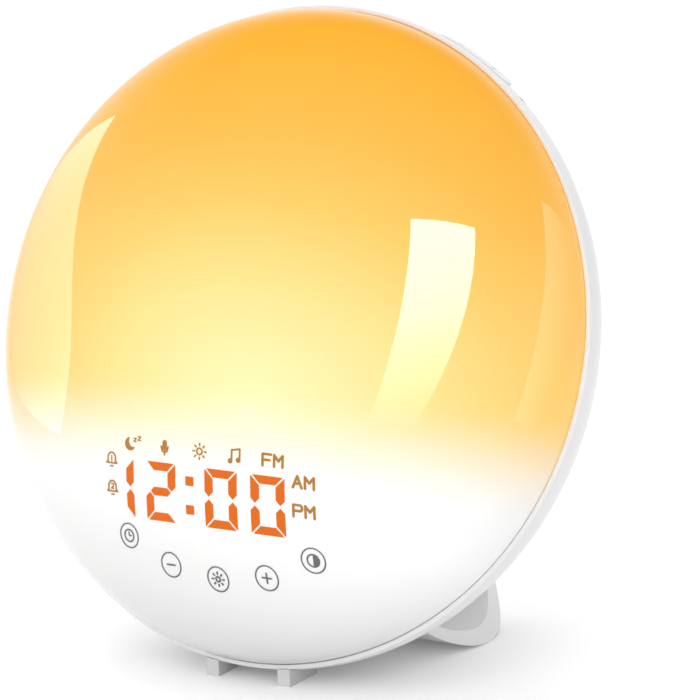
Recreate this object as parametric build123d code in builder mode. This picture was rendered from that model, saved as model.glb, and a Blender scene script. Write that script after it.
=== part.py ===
from build123d import *
import os
from math import asin, atan2, cos, degrees, radians, sin, sqrt, tan

# Sunrise alarm clock: a round light with an opal dome, leaning back on two front feet and a
# looped strap. All sizes are in millimetres and degrees. +Z is up, the dome faces -Y, and the
# origin is on the table, under the middle of the clock's box.
os.makedirs("parts", exist_ok=True)

# ---------------------------------------------------------------------------- driving sizes
# Body: everything round is turned about the disc's own axis, which points out of the dome.
disc_radius = 87.5
lean_back = 19.3
dome_depth = 42.5
dome_wall = 2.2
dome_skirt = 1.4
ring_lip = 1.3
dome_gap = 0.15
ring_width_low = 12.3
ring_width_high = 9.3
rim_chamfer = 0.4
flange_thickness = 1.3
flange_inner_radius = 76.0
back_bulge = 39.5
band_depth = 2.0
body_depth = 39.6
shell_wall = 2.2
parting_gap = 0.25
tongue_gap = 0.2
tongue_thickness = 1.4
tongue_height = 2.2
tongue_root = 3.0

# Feet and strap
foot_height = 4.1
foot_spacing = 22.0
foot_width = 3.8
foot_length = 13.0
foot_setback = 0.3
seat_gap = 0.05
strap_thickness = 3.6
strap_rear_radius = 23.7
strap_front_radius = 32.0
strap_low_point = 27.0
strap_foot_half_width = 41.0
strap_waist_half_width = 31.0
strap_waist_height = 12.0
strap_top_half_width = 26.0
stand_screw_spread = 28.0
stand_screw_top_y = -29.6
stand_screw_low_y = -67.6
stand_screw_grip = 5.0
pocket_depth = 1.1

# Fasteners: one small and one larger self-tapping screw, in holes that only clear the thread
screw_shank = 2.2
screw_head = 4.6
screw_head_height = 1.4
shell_screw_shank = 2.8
shell_screw_head = 5.4
shell_screw_head_height = 2.0
screw_clearance = 0.05

# Rocker key and microphone, in the ring at the upper right
rocker_angle = 62.0
rocker_length = 25.0
rocker_width = 5.0
rocker_depth = 5.3
rocker_proud = 0.15
rocker_gap = 0.3
rocker_cap = 2.4
rocker_foot_spread = 17.0
rocker_pin_radius = 0.75
rocker_pivot_drop = 4.3
switch_size = 3.6
switch_height = 2.0
plunger_radius = 0.8
plunger_height = 0.75
switch_rest_gap = 0.45
rocker_board_thickness = 1.0
rocker_board_length = 29.0
rocker_rib = 1.3
mark_length = 2.2
mark_width = 0.6
mark_depth = 0.3
microphone_angle = 49.8
microphone_depth = 4.7
microphone_port_length = 3.2
microphone_port_width = 1.8
microphone_radius = 1.5
microphone_height = 2.0
boot_wall = 0.4
boot_length = 4.0

# Light tray and light board
tray_thickness = 1.6
tray_radius = 84.3
tray_screw_count = 6
tray_screw_radius = 79.2
tray_boss_radius = 2.6
light_board_radius = 40.0
light_board_bore = 13.0
light_board_y = 24.0
light_board_thickness = 1.6
chip_rings = ((34.0, 24), (21.0, 12))
chip_length = 3.5
chip_width = 2.8
chip_height = 1.0
light_screw_radius = 28.0
shell_post_x = 52.0
shell_post_y = 36.0
shell_post_radius = 4.0
shell_well_depth = 9.0
shell_well_radius = 4.2

# Display
display_x = 1.5
display_y = -45.6
digit_height = 14.8
digit_width = 9.4
digit_stroke_side = 2.4
digit_stroke_flat = 2.1
digit_gap = 0.35
print_thickness = 0.15
letter_line = 0.62
sleep_line = 0.28
key_radius = 3.2
key_line = 0.3
keys_x = 3.2
key_outer_x = 27.3
key_inner_x = 14.2
key_outer_y = -12.2
key_inner_y = -18.2
key_middle_y = -20.2
display_board_width = 64.0
display_board_height = 42.0
display_board_y = -46.5
display_board_seat = 14.0
board_thickness = 1.6
tower_wall = 1.6
cell_block_width = 64.0
cell_block_height = 23.0
cell_block_y = -42.7
cell_gap = 0.3
window_growth = 0.1
sign_window_height = 4.2
led_size = 1.0
led_height = 0.6
touch_column_radius = 2.8

# Electronics, speaker and sockets
main_board_width = 70.0
main_board_height = 44.0
main_board_y = 31.0
main_board_post = 4.7
main_post_radius = 2.6
main_post_inset = 3.6
speaker_radius = 22.0
speaker_opening_radius = 18.0
speaker_flange = 1.0
speaker_basket_depth = 8.0
speaker_basket_radius = 13.5
speaker_magnet_radius = 13.0
speaker_magnet_height = 8.0
gasket_thickness = 0.8
mesh_thickness = 0.3
grille_pitch = 4.1
grille_rings = 5
grille_hole_radius = 0.85
speaker_screw_radius = 25.0
speaker_screw_head = 7.0
jack_x = -47.0
jack_y = -6.0
jack_flat = 15.0
jack_radius = 4.0
jack_bore_radius = 2.8
jack_pin_radius = 0.9
jack_length = 13.0
jack_flange_radius = 5.4
jack_flange = 1.2
jack_seat_depth = 31.0
jack_nut_radius = 6.4
jack_nut_height = 2.2
grommet_x = -44.0
grommet_y = 14.0
grommet_radius = 2.4
grommet_bore_radius = 0.7
grommet_lip = 1.0
lead_diameter = 1.3
lead_clearance = 0.3
ribbon_width = 12.0
ribbon_thickness = 0.6
ribbon_bend = 6.0

# ---------------------------------------------------------------------------- derived sizes
lean_sin = sin(radians(lean_back))
lean_cos = cos(radians(lean_back))
dome_radius = disc_radius - ring_lip
front_reach = sqrt((dome_radius * lean_sin) ** 2 + (dome_depth * lean_cos) ** 2)
rear_reach = strap_low_point + strap_rear_radius
centre_y = (front_reach - rear_reach) / 2
centre_z = foot_height + disc_radius * lean_cos
flange_back = dome_skirt + flange_thickness
tray_back = flange_back + tray_thickness
plateau_inner = body_depth - shell_wall
display_board_top = display_board_seat + board_thickness
rocker_pivot_radius = disc_radius - rocker_pivot_drop
rocker_cap_under = disc_radius - rocker_cap
switch_top_radius = rocker_pivot_radius - switch_rest_gap
rocker_board_face = switch_top_radius - switch_height - plunger_height
main_board_face = tray_back + main_board_post
main_board_back = main_board_face + board_thickness
key_places = [
    (keys_x - key_outer_x, key_outer_y),
    (keys_x - key_inner_x, key_inner_y),
    (keys_x, key_middle_y),
    (keys_x + key_inner_x, key_inner_y),
    (keys_x + key_outer_x, key_outer_y),
]

# ---------------------------------------------------------------------------- planes
# disc: x to the viewer's right, y up the leaning face, z out of the dome. section holds the
# profiles that are turned about the disc's axis: x is the radius and y points out of the dome.
disc = Plane(origin=(0, centre_y, centre_z), x_dir=(1, 0, 0), z_dir=(0, -lean_cos, lean_sin))
section = Plane(origin=disc.origin, x_dir=(1, 0, 0), z_dir=-disc.y_dir)
disc_axis = Axis(disc.origin, disc.z_dir)
side = Plane(origin=(0, centre_y, 0), x_dir=(0, 1, 0), z_dir=(1, 0, 0))
rear = Plane(origin=(0, centre_y, 0), x_dir=(1, 0, 0), z_dir=(0, -1, 0))

# The ring is wider at the bottom than at the top, so the joint behind it leans a little.
parting_slope = (ring_width_low - ring_width_high) / (2 * disc_radius)
parting = Plane(
    origin=disc.offset(-(ring_width_low + ring_width_high) / 2).origin,
    x_dir=(1, 0, 0),
    z_dir=disc.z_dir - disc.y_dir * parting_slope,
)


def rim_plane(angle, radius, depth):
    """Plane facing outwards on the disc's edge: x runs round the rim and y towards the dome."""
    turn = radians(angle)
    outwards = disc.x_dir * cos(turn) + disc.y_dir * sin(turn)
    along = disc.y_dir * cos(turn) - disc.x_dir * sin(turn)
    place = disc.from_local_coords(Vector(radius * cos(turn), radius * sin(turn), -depth))
    return Plane(origin=place, x_dir=along, z_dir=outwards)


# ---------------------------------------------------------------------------- shared shapes
# Share of the radius at which a cubic curve's handles stand when it draws a quarter round
quarter_handle = 4 / 3 * (sqrt(2) - 1)


def back_solid(inset):
    """Solid behind the rim plane, inside the back's outer surface moved in by inset."""
    across = disc_radius - inset
    deep = back_bulge - inset
    flat = body_depth - inset
    turn = degrees(asin((flat - band_depth) / deep))
    with BuildPart() as solid:
        with BuildSketch(section):
            with BuildLine():
                bulge = EllipticalCenterArc((0, -band_depth), across, deep, start_angle=-turn, arc_size=turn)
                Polyline(bulge @ 1, (across, 0), (0, 0), (0, -flat), bulge @ 0)
            make_face()
        revolve(axis=disc_axis)
    return solid.part


def back_band(outer_inset, inner_inset, ahead, behind):
    """Layer of the back between two insets, cut by planes ahead of and behind the parting."""
    layer = back_solid(outer_inset) - back_solid(inner_inset)
    layer = split(layer, bisect_by=parting.offset(ahead), keep=Keep.BOTTOM, mode=Mode.PRIVATE)
    return split(layer, bisect_by=parting.offset(-behind), keep=Keep.TOP, mode=Mode.PRIVATE)


def dome_solid(growth):
    """Half ellipsoid in front of the rim plane, moved out by growth."""
    across = dome_radius + growth
    deep = dome_depth + growth
    with BuildPart() as solid:
        with BuildSketch(section):
            with BuildLine():
                Bezier(
                    (across, 0), (across, quarter_handle * deep), (quarter_handle * across, deep), (0, deep)
                )
                Polyline((0, deep), (0, 0), (across, 0))
            make_face()
        revolve(axis=disc_axis)
    return solid.part


def back_depth(x, y, inset=0.0):
    """Depth of the back's surface behind the rim plane at a point of the disc."""
    share = (x * x + y * y) / (disc_radius - inset) ** 2
    return min(band_depth + (back_bulge - inset) * sqrt(1 - share), body_depth - inset)


def back_normal(x, y):
    """Outward direction of the back's surface at a point of the disc."""
    slope = disc.x_dir * (x / disc_radius**2) + disc.y_dir * (y / disc_radius**2)
    depth = back_depth(x, y) - band_depth
    return (slope - disc.z_dir * (depth / back_bulge**2)).normalized()


def screw(seats, shank, length, head, head_height, recess=0.7):
    """Group of screws: each seat is a plane on the surface under the head, facing the head."""
    with BuildPart() as group:
        for seat in seats:
            with BuildSketch(seat):
                Circle(head / 2)
            extrude(amount=head_height)
            with BuildSketch(seat):
                Circle(shank / 2)
            extrude(amount=-length)
            with BuildSketch(seat.offset(head_height)):
                for turn in (0, 90):
                    with Locations((0, 0)):
                        Rectangle(head * 0.6, head * 0.14, rotation=turn)
            extrude(amount=-recess * head_height, mode=Mode.SUBTRACT)
    return group.part


def disc_seats(points, depth, facing=1):
    """Planes at points of the disc, depth behind the rim, facing the dome (1) or the back (-1)."""
    direction = disc.z_dir * facing
    return [
        Plane(origin=disc.from_local_coords(Vector(x, y, -depth)), x_dir=(1, 0, 0), z_dir=direction)
        for x, y in points
    ]


def ring_points(radius, count, start=0.0, centre=(0.0, 0.0)):
    """Points spaced evenly on a circle of the disc."""
    return [
        (
            centre[0] + radius * cos(radians(start + 360 * turn / count)),
            centre[1] + radius * sin(radians(start + 360 * turn / count)),
        )
        for turn in range(count)
    ]


def stroke(start, end, width):
    """Round-ended line of the printed signs, added to the open sketch."""
    dx = end[0] - start[0]
    dy = end[1] - start[1]
    with Locations(((start[0] + end[0]) / 2, (start[1] + end[1]) / 2)):
        SlotCenterToCenter(sqrt(dx * dx + dy * dy), width, rotation=degrees(atan2(dy, dx)))


def path_strokes(points, width):
    """Strokes along a row of points."""
    for start, end in zip(points, points[1:]):
        stroke(start, end, width)


tray_screw_points = ring_points(tray_screw_radius, tray_screw_count, start=30)
light_screw_points = ring_points(light_screw_radius, 4, start=45, centre=(0, light_board_y))
shell_post_points = [(x, y) for x in (-shell_post_x, shell_post_x) for y in (-shell_post_y, shell_post_y)]
main_post_points = [
    (x, main_board_y + y)
    for x in (-main_board_width / 2 + main_post_inset, main_board_width / 2 - main_post_inset)
    for y in (-main_board_height / 2 + main_post_inset, main_board_height / 2 - main_post_inset)
]
rocker_plane = rim_plane(rocker_angle, disc_radius, rocker_depth)
microphone_plane = rim_plane(microphone_angle, disc_radius, microphone_depth)
envelope = back_solid(-seat_gap)

# ---------------------------------------------------------------------------- case
# Opal dome: a half ellipsoid with a short skirt that drops into the ring's seat.
with BuildPart() as diffuser_dome:
    add(dome_solid(0))
    add(dome_solid(-dome_wall), mode=Mode.SUBTRACT)
    with BuildSketch(disc):
        Circle(dome_radius)
        Circle(dome_radius - dome_wall, mode=Mode.SUBTRACT)
    extrude(amount=-dome_skirt)

# Trim ring: outer band, seat for the dome, and the flange that the light tray hangs on.
bore_radius = dome_radius + dome_gap
ring_cut_depth = ring_width_low + band_depth
outer_turn = degrees(asin((ring_cut_depth - band_depth) / back_bulge))
inner_turn = degrees(asin((ring_cut_depth - band_depth) / (back_bulge - shell_wall)))
inner_start = degrees(asin((flange_back - band_depth) / (back_bulge - shell_wall)))
with BuildPart() as trim_ring:
    with BuildSketch(section):
        with BuildLine():
            skin = EllipticalCenterArc(
                (0, -band_depth), disc_radius, back_bulge, start_angle=-outer_turn, arc_size=outer_turn
            )
            lining = EllipticalCenterArc(
                (0, -band_depth),
                disc_radius - shell_wall,
                back_bulge - shell_wall,
                start_angle=-inner_turn,
                arc_size=inner_turn - inner_start,
            )
            Line(skin @ 0, lining @ 0)
            Polyline(
                lining @ 1,
                (flange_inner_radius, -flange_back),
                (flange_inner_radius, -dome_skirt),
                (bore_radius, -dome_skirt),
                (bore_radius, 0),
                (disc_radius - rim_chamfer, 0),
                (disc_radius, -rim_chamfer),
                skin @ 1,
            )
        make_face()
    revolve(axis=disc_axis)
    split(bisect_by=parting, keep=Keep.TOP)
    # Bosses that pass through the tray, with holes for its screws
    with BuildSketch(disc.offset(-flange_back)):
        with Locations(tray_screw_points):
            Circle(tray_boss_radius)
    extrude(amount=-tray_thickness + seat_gap)
    with BuildSketch(disc.offset(-tray_back)):
        with Locations(tray_screw_points):
            Circle(screw_shank / 2 + screw_clearance)
    extrude(amount=tray_thickness + flange_thickness, mode=Mode.SUBTRACT)
    # Rocker: opening, rear lug for the pin, and two ribs that carry its board
    rib_place = (rocker_board_length - rocker_rib) / 2
    with BuildSketch(rim_plane(rocker_angle, rocker_board_face, rocker_depth)):
        with Locations((-rib_place, 0), (rib_place, 0)):
            Rectangle(rocker_rib, rocker_width)
    extrude(until=Until.NEXT)
    lug_depth = ring_width_high - 0.65
    with BuildSketch(rim_plane(rocker_angle, rocker_pivot_radius - 2, lug_depth)):
        Rectangle(5, 1.1)
    extrude(until=Until.NEXT)
    with BuildSketch(rocker_plane.offset(2)):
        SlotOverall(rocker_length + 2 * rocker_gap, rocker_width + 2 * rocker_gap)
    extrude(amount=-6, mode=Mode.SUBTRACT)
    pivot = rim_plane(rocker_angle, rocker_pivot_radius, 0).origin
    pin_front = Plane(origin=pivot, x_dir=(1, 0, 0), z_dir=disc.z_dir).offset(-dome_skirt - 0.4)
    with BuildSketch(pin_front):
        Circle(rocker_pin_radius + 0.03)
    extrude(amount=-ring_width_high, mode=Mode.SUBTRACT)
    # Microphone port
    with BuildSketch(microphone_plane.offset(1)):
        SlotOverall(microphone_port_length, microphone_port_width, rotation=90)
    extrude(amount=-6, mode=Mode.SUBTRACT)

# Rear shell: domed back with a flat plateau. A tongue round its edge fits inside the ring.
notch_radius = rocker_board_face - rocker_board_thickness - 2.2
notch_centre_angle = (rocker_angle + microphone_angle) / 2 + 3
notch_half_width = 22.5
notch = rim_plane(notch_centre_angle, notch_radius, 0)
well_floor = {point: back_depth(*point) - shell_well_depth for point in shell_post_points}
stand_top_points = [(-stand_screw_spread / 2, stand_screw_top_y), (stand_screw_spread / 2, stand_screw_top_y)]
stand_low_points = [(-stand_screw_spread / 2, stand_screw_low_y), (stand_screw_spread / 2, stand_screw_low_y)]
stand_boss_radius = 3.4
stand_top_seat = back_depth(*stand_top_points[0], shell_wall) - 1.4
stand_top_seats = disc_seats(stand_top_points, stand_top_seat)


def surface_plane(x, y, inset):
    """Plane on the back's surface moved in by inset, facing inwards."""
    outwards = back_normal(x, y)
    place = disc.from_local_coords(Vector(x, y, -back_depth(x, y))) - outwards * inset
    return Plane(origin=place, x_dir=(1, 0, 0), z_dir=-outwards)


stand_low_seat_inset = shell_wall + 1.0
stand_low_seats = [surface_plane(x, y, stand_low_seat_inset) for x, y in stand_low_points]
pocket_outline = [(3.0, 29.5), (15.4, 34.4), (19.6, 38.0), (23.4, 47.2), (25.0, 55.2), (6.6, 48.8)]
with BuildPart() as pocket:
    with BuildSketch(side.offset(-disc_radius)):
        with BuildLine():
            Spline(pocket_outline[0], *pocket_outline[1:4], pocket_outline[4])
            Polyline(pocket_outline[4], pocket_outline[5], pocket_outline[0])
        make_face()
    extrude(amount=2 * disc_radius)
    with BuildSketch(section):
        with BuildLine():
            bulge = EllipticalCenterArc(
                (0, -band_depth), disc_radius, back_bulge - pocket_depth, start_angle=-89.9, arc_size=89.9
            )
            Polyline(bulge @ 1, (0, -band_depth), bulge @ 0)
        make_face()
    revolve(axis=disc_axis, mode=Mode.SUBTRACT)
# The tongue is left out where the rocker and the microphone are.
tongue_inset = shell_wall + tongue_gap + tongue_thickness
with BuildPart() as tongue:
    add(back_band(shell_wall - parting_gap, tongue_inset, -parting_gap, tongue_root))
    add(back_band(shell_wall + tongue_gap, tongue_inset, tongue_height, tongue_root))
    with BuildSketch(notch):
        Rectangle(2 * notch_half_width, 2 * body_depth)
    extrude(amount=disc_radius, mode=Mode.SUBTRACT)
with BuildPart() as rear_shell:
    add(back_band(0, shell_wall, -parting_gap, body_depth))
    add(tongue.part)
    # Wells for the four case screws, closed by a floor with a clearance hole
    for point in shell_post_points:
        with BuildSketch(disc.offset(-well_floor[point])):
            with Locations(point):
                Circle(shell_well_radius + shell_wall / 2)
        extrude(amount=-shell_well_depth)
    add(back_solid(0) & rear_shell.part, mode=Mode.REPLACE)
    for point in shell_post_points:
        with BuildSketch(disc.offset(-well_floor[point] - shell_wall)):
            with Locations(point):
                Circle(shell_well_radius)
        extrude(amount=-shell_well_depth - 5, mode=Mode.SUBTRACT)
        with BuildSketch(disc.offset(-well_floor[point])):
            with Locations(point):
                Circle(shell_screw_shank / 2 + screw_clearance)
        extrude(amount=-shell_wall, mode=Mode.SUBTRACT)
    # Speaker grille in the plateau, and bosses for the speaker's screws
    with BuildSketch(disc.offset(-plateau_inner)):
        with Locations(ring_points(speaker_screw_radius, 4, start=45)):
            Circle(screw_head / 2)
    extrude(amount=mesh_thickness + gasket_thickness + speaker_flange)
    with BuildSketch(disc.offset(-plateau_inner + 4)):
        with Locations(ring_points(speaker_screw_radius, 4, start=45)):
            Circle(screw_shank / 2 + screw_clearance)
    extrude(amount=-5.2, mode=Mode.SUBTRACT)
    with BuildSketch(disc.offset(-body_depth - 1)):
        Circle(grille_hole_radius)
        for row in range(1, grille_rings + 1):
            with Locations(ring_points(grille_pitch * row, 6 * row)):
                Circle(grille_hole_radius)
    extrude(amount=shell_wall + 2, mode=Mode.SUBTRACT)
    # Bosses and holes for the strap's screws
    with BuildSketch(disc.offset(-stand_top_seat)):
        with Locations(stand_top_points):
            Circle(stand_boss_radius)
    extrude(amount=-2.4)
    for seat in stand_low_seats:
        with BuildSketch(seat):
            Circle(stand_boss_radius)
        extrude(amount=-2.0)
    for seat in stand_top_seats + stand_low_seats:
        with BuildSketch(seat.offset(1)):
            Circle(screw_shank / 2 + screw_clearance)
        extrude(amount=-12, mode=Mode.SUBTRACT)
    # Flat seat for the power socket, and the hole for the antenna's grommet
    with BuildSketch(disc.offset(-jack_seat_depth)):
        with Locations((jack_x, jack_y)):
            Circle(jack_flat / 2 + shell_wall)
    extrude(amount=-10)
    add(back_solid(0) & rear_shell.part, mode=Mode.REPLACE)
    with BuildSketch(disc.offset(-jack_seat_depth - shell_wall)):
        with Locations((jack_x, jack_y)):
            Circle(jack_flat / 2)
    extrude(amount=-12, mode=Mode.SUBTRACT)
    with BuildSketch(disc.offset(-jack_seat_depth + 1)):
        with Locations((jack_x, jack_y)):
            Circle(jack_radius + seat_gap)
    extrude(amount=-6, mode=Mode.SUBTRACT)
    grommet_seat = surface_plane(grommet_x, grommet_y, 0)
    with BuildSketch(grommet_seat.offset(-2)):
        Circle(grommet_radius + seat_gap)
    extrude(amount=shell_wall + 4, mode=Mode.SUBTRACT)
    # Shallow grip hollows on both sides, above the strap
    add(pocket.part, mode=Mode.SUBTRACT)

# Strap: a bent band under the back, wide where it stands, closed into a loop by the shell.
rear_centre = (strap_low_point, strap_rear_radius)
front_centre = (strap_low_point, strap_front_radius)
with BuildPart() as stand_strap:
    with BuildSketch(side.offset(-strap_foot_half_width - 1)):
        with BuildLine():
            outer_rear = CenterArc(rear_centre, strap_rear_radius, -90, 200)
            inner_rear = CenterArc(rear_centre, strap_rear_radius - strap_thickness, -90, 200)
            outer_front = CenterArc(front_centre, strap_front_radius, -90, -70)
            inner_front = CenterArc(front_centre, strap_front_radius - strap_thickness, -90, -70)
            Line(outer_rear @ 1, inner_rear @ 1)
            Line(outer_front @ 1, inner_front @ 1)
        make_face()
    extrude(amount=2 * strap_foot_half_width + 2)
    with BuildSketch(rear.offset(-strap_low_point - strap_rear_radius - 1)):
        with BuildLine():
            flank = Spline(
                (strap_foot_half_width, 0),
                (strap_waist_half_width, strap_waist_height),
                (strap_top_half_width, 2 * strap_rear_radius + 2),
                tangents=((-0.75, 0.66), (-0.05, 1)),
            )
            Line(flank @ 1, (0, 2 * strap_rear_radius + 2))
            Line((0, 2 * strap_rear_radius + 2), (0, 0))
            Line((0, 0), flank @ 0)
        make_face()
        mirror(about=Plane.YZ)
    extrude(amount=2 * strap_front_radius + strap_rear_radius, mode=Mode.INTERSECT)
    add(envelope, mode=Mode.SUBTRACT)
    strap_solids = stand_strap.part.solids().sort_by(SortBy.VOLUME)
    add(strap_solids[-1], mode=Mode.REPLACE)
    for seat in stand_top_seats + stand_low_seats:
        with BuildSketch(seat):
            Circle(screw_shank / 2 + screw_clearance)
        extrude(amount=-stand_screw_grip - 3.4, mode=Mode.SUBTRACT)

# Front feet: two narrow rubber wedges between the ring and the table.


def front_foot(x):
    """Wedge foot at x, shaped to the underside of the ring."""
    front = -disc_radius * lean_sin + foot_setback
    with BuildPart() as foot:
        with BuildSketch(side.offset(x - foot_width / 2)):
            with Locations((front, 0)):
                Rectangle(foot_length, 2 * foot_height, align=(Align.MIN, Align.MIN))
        extrude(amount=foot_width)
        with BuildSketch(disc.offset(2 * foot_height)):
            Circle(disc_radius + seat_gap)
        extrude(amount=-2 * foot_height, mode=Mode.SUBTRACT)
        add(envelope, mode=Mode.SUBTRACT)
        add(foot.part.solids().sort_by(Axis.Z)[0], mode=Mode.REPLACE)
    return foot


front_foot_left = front_foot(-foot_spacing / 2)
front_foot_right = front_foot(foot_spacing / 2)

# Case and strap screws
case_seats = [
    Plane(
        origin=disc.from_local_coords(Vector(*point, -well_floor[point] - shell_wall)),
        x_dir=(1, 0, 0),
        z_dir=-disc.z_dir,
    )
    for point in shell_post_points
]
shell_screws = screw(
    case_seats, shell_screw_shank, shell_wall + 8, shell_screw_head, shell_screw_head_height
)
stand_screws = screw(
    stand_top_seats + stand_low_seats,
    screw_shank,
    stand_screw_grip + shell_wall,
    screw_head,
    screw_head_height,
)

# ---------------------------------------------------------------------------- rocker, microphone
# Rocker key: a curved oval cap with a pivot lug and two pressing studs.
with BuildPart() as volume_rocker:
    with BuildSketch(rocker_plane.offset(-rocker_cap)):
        SlotOverall(rocker_length, rocker_width)
    extrude(amount=rocker_cap + 2)
    with BuildSketch(disc.offset(-30)):
        Circle(disc_radius + rocker_proud)
    extrude(amount=60, mode=Mode.INTERSECT)
    with BuildSketch(rim_plane(rocker_angle, rocker_pivot_radius - 1.6, rocker_depth)):
        Rectangle(3.2, rocker_width - 1)
    extrude(amount=rocker_cap_under - rocker_pivot_radius + 1.8)
    with BuildSketch(rim_plane(rocker_angle, rocker_pivot_radius, rocker_depth)):
        with Locations((-rocker_foot_spread / 2, 0), (rocker_foot_spread / 2, 0)):
            Circle(1.3)
    extrude(amount=rocker_cap_under - rocker_pivot_radius + 0.2)
    with BuildSketch(pin_front):
        Circle(rocker_pin_radius + 0.05)
    extrude(amount=-ring_width_high, mode=Mode.SUBTRACT)
    with BuildSketch(rocker_plane.offset(rocker_proud + 1)):
        with Locations((-6, 0), (6, 0)):
            SlotOverall(mark_length, mark_width, rotation=90)
        with Locations((6, 0)):
            SlotOverall(mark_length, mark_width)
    extrude(amount=-1 - mark_depth - 0.2, mode=Mode.SUBTRACT)

with BuildPart() as rocker_pin:
    with BuildSketch(pin_front.offset(-0.1)):
        Circle(rocker_pin_radius)
    extrude(amount=-(lug_depth - dome_skirt))

rocker_board_plane = rim_plane(rocker_angle, rocker_board_face, rocker_depth)
with BuildPart() as rocker_board:
    with BuildSketch(rocker_board_plane):
        Rectangle(rocker_board_length, rocker_width)
    extrude(amount=-rocker_board_thickness)

with BuildPart() as rocker_switches:
    with BuildSketch(rocker_board_plane):
        with Locations((-rocker_foot_spread / 2, 0), (rocker_foot_spread / 2, 0)):
            Rectangle(switch_size, switch_size)
    extrude(amount=switch_height)
    with BuildSketch(rocker_board_plane.offset(switch_height)):
        with Locations((-rocker_foot_spread / 2, 0), (rocker_foot_spread / 2, 0)):
            Circle(plunger_radius)
    extrude(amount=plunger_height)

# Microphone capsule in a rubber boot behind its port
boot_face = disc_radius - shell_wall + 0.6
boot_radius = microphone_radius + boot_wall
with BuildPart() as microphone_boot:
    with BuildSketch(rim_plane(microphone_angle, boot_face - boot_length, microphone_depth)):
        Circle(boot_radius)
    extrude(amount=boot_length)
    add(back_solid(shell_wall + seat_gap), mode=Mode.INTERSECT)
    with BuildSketch(rim_plane(microphone_angle, boot_face - boot_length, microphone_depth)):
        Circle(microphone_radius)
    extrude(amount=microphone_height, mode=Mode.SUBTRACT)
    with BuildSketch(rim_plane(microphone_angle, boot_face - boot_length, microphone_depth)):
        Circle(microphone_port_width / 2)
    extrude(amount=boot_length + 1, mode=Mode.SUBTRACT)

with BuildPart() as microphone:
    with BuildSketch(rim_plane(microphone_angle, boot_face - boot_length, microphone_depth)):
        Circle(microphone_radius - 0.02)
    extrude(amount=microphone_height - 0.02)

# ---------------------------------------------------------------------------- light tray, light
ribbon_slot_y = display_board_y + 6
light_lead_x = -8
light_lead_y = light_board_y + light_board_radius - 5
with BuildPart() as light_tray:
    with BuildSketch(disc.offset(-tray_back)):
        Circle(tray_radius)
        with Locations(tray_screw_points):
            Circle(tray_boss_radius + 0.2, mode=Mode.SUBTRACT)
        with Locations((display_x, ribbon_slot_y)):
            Rectangle(ribbon_width + 4, 6, mode=Mode.SUBTRACT)
        with Locations((light_lead_x, light_lead_y)):
            Circle(3 * lead_diameter, mode=Mode.SUBTRACT)
    extrude(amount=tray_thickness)
    with BuildSketch(notch):
        Rectangle(2 * notch_half_width, 60)
    extrude(amount=20, mode=Mode.SUBTRACT)
    # Bosses for the light board, posts for the main board and the case screws
    with BuildSketch(disc.offset(-tray_back)):
        with Locations(light_screw_points):
            Circle(main_post_radius)
    extrude(amount=-3)
    with BuildSketch(disc.offset(-tray_back)):
        with Locations(main_post_points):
            Circle(main_post_radius)
    extrude(amount=-main_board_post)
    for point in shell_post_points:
        with BuildSketch(disc.offset(-tray_back)):
            with Locations(point):
                Circle(shell_post_radius)
        extrude(amount=-(well_floor[point] - tray_back - seat_gap))
        with BuildSketch(disc.offset(-well_floor[point])):
            with Locations(point):
                Circle(shell_screw_shank / 2 + screw_clearance)
        extrude(amount=9, mode=Mode.SUBTRACT)
    with BuildSketch(disc.offset(-flange_back + 1)):
        with Locations(light_screw_points):
            Circle(screw_shank / 2 + screw_clearance)
    extrude(amount=-tray_thickness - 3.5, mode=Mode.SUBTRACT)
    with BuildSketch(disc.offset(-main_board_face - 1)):
        with Locations(main_post_points):
            Circle(screw_shank / 2 + screw_clearance)
    extrude(amount=main_board_post + 1, mode=Mode.SUBTRACT)

tray_screws = screw(
    disc_seats(tray_screw_points, tray_back, facing=-1), screw_shank, 2.8, 7.0, screw_head_height
)

with BuildPart() as led_board:
    with BuildSketch(disc.offset(-flange_back)):
        with Locations((0, light_board_y)):
            Circle(light_board_radius)
            Circle(light_board_bore, mode=Mode.SUBTRACT)
        with Locations(light_screw_points):
            Circle(screw_shank / 2 + screw_clearance, mode=Mode.SUBTRACT)
    extrude(amount=light_board_thickness)

light_board_face = flange_back - light_board_thickness
with BuildPart() as led_chips:
    with BuildSketch(disc.offset(-light_board_face)):
        for radius, count in chip_rings:
            with Locations((0, light_board_y)):
                with PolarLocations(radius, count, start_angle=360 / count / 4):
                    Rectangle(chip_width, chip_length)
    extrude(amount=chip_height)

led_board_screws = screw(
    disc_seats(light_screw_points, light_board_face), screw_shank, light_board_thickness + 4, screw_head,
    screw_head_height,
)


# ---------------------------------------------------------------------------- display
def bar(x, y, length, width, outer):
    """Horizontal digit bar. Its ends are mitred from a long edge on its outer side, up or down,
    or pointed in the middle of a digit, where outer is 0."""
    half = length / 2
    reach = width / 2
    upper = half + reach if outer > 0 else half - reach
    lower = half + reach if outer < 0 else half - reach
    corners = [(-upper, reach), (upper, reach), (lower, -reach), (-lower, -reach)]
    if outer == 0:
        corners = [(-half, 0), *corners[:2], (half, 0), *corners[2:]]
    with Locations((x, y)):
        with BuildLine(mode=Mode.PRIVATE) as edge:
            Polyline(*corners, close=True)
        add(make_face(edge.line, mode=Mode.PRIVATE))


def post(x, y, length, width, side, end):
    """Upright digit bar: mitred at its outer end from a long edge on its outer side, and pointed
    at the end in the middle of the digit."""
    half = length / 2
    reach = width / 2
    with Locations((x, y)):
        with BuildLine(mode=Mode.PRIVATE) as edge:
            Polyline(
                (0, -half * end),
                (side * reach, (reach - half) * end),
                (side * reach, (half + reach) * end),
                (-side * reach, (half - reach) * end),
                (-side * reach, (reach - half) * end),
                close=True,
            )
        add(make_face(edge.line, mode=Mode.PRIVATE))


segments_of = {"1": "bc", "2": "abged", "0": "abcdef"}


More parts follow.
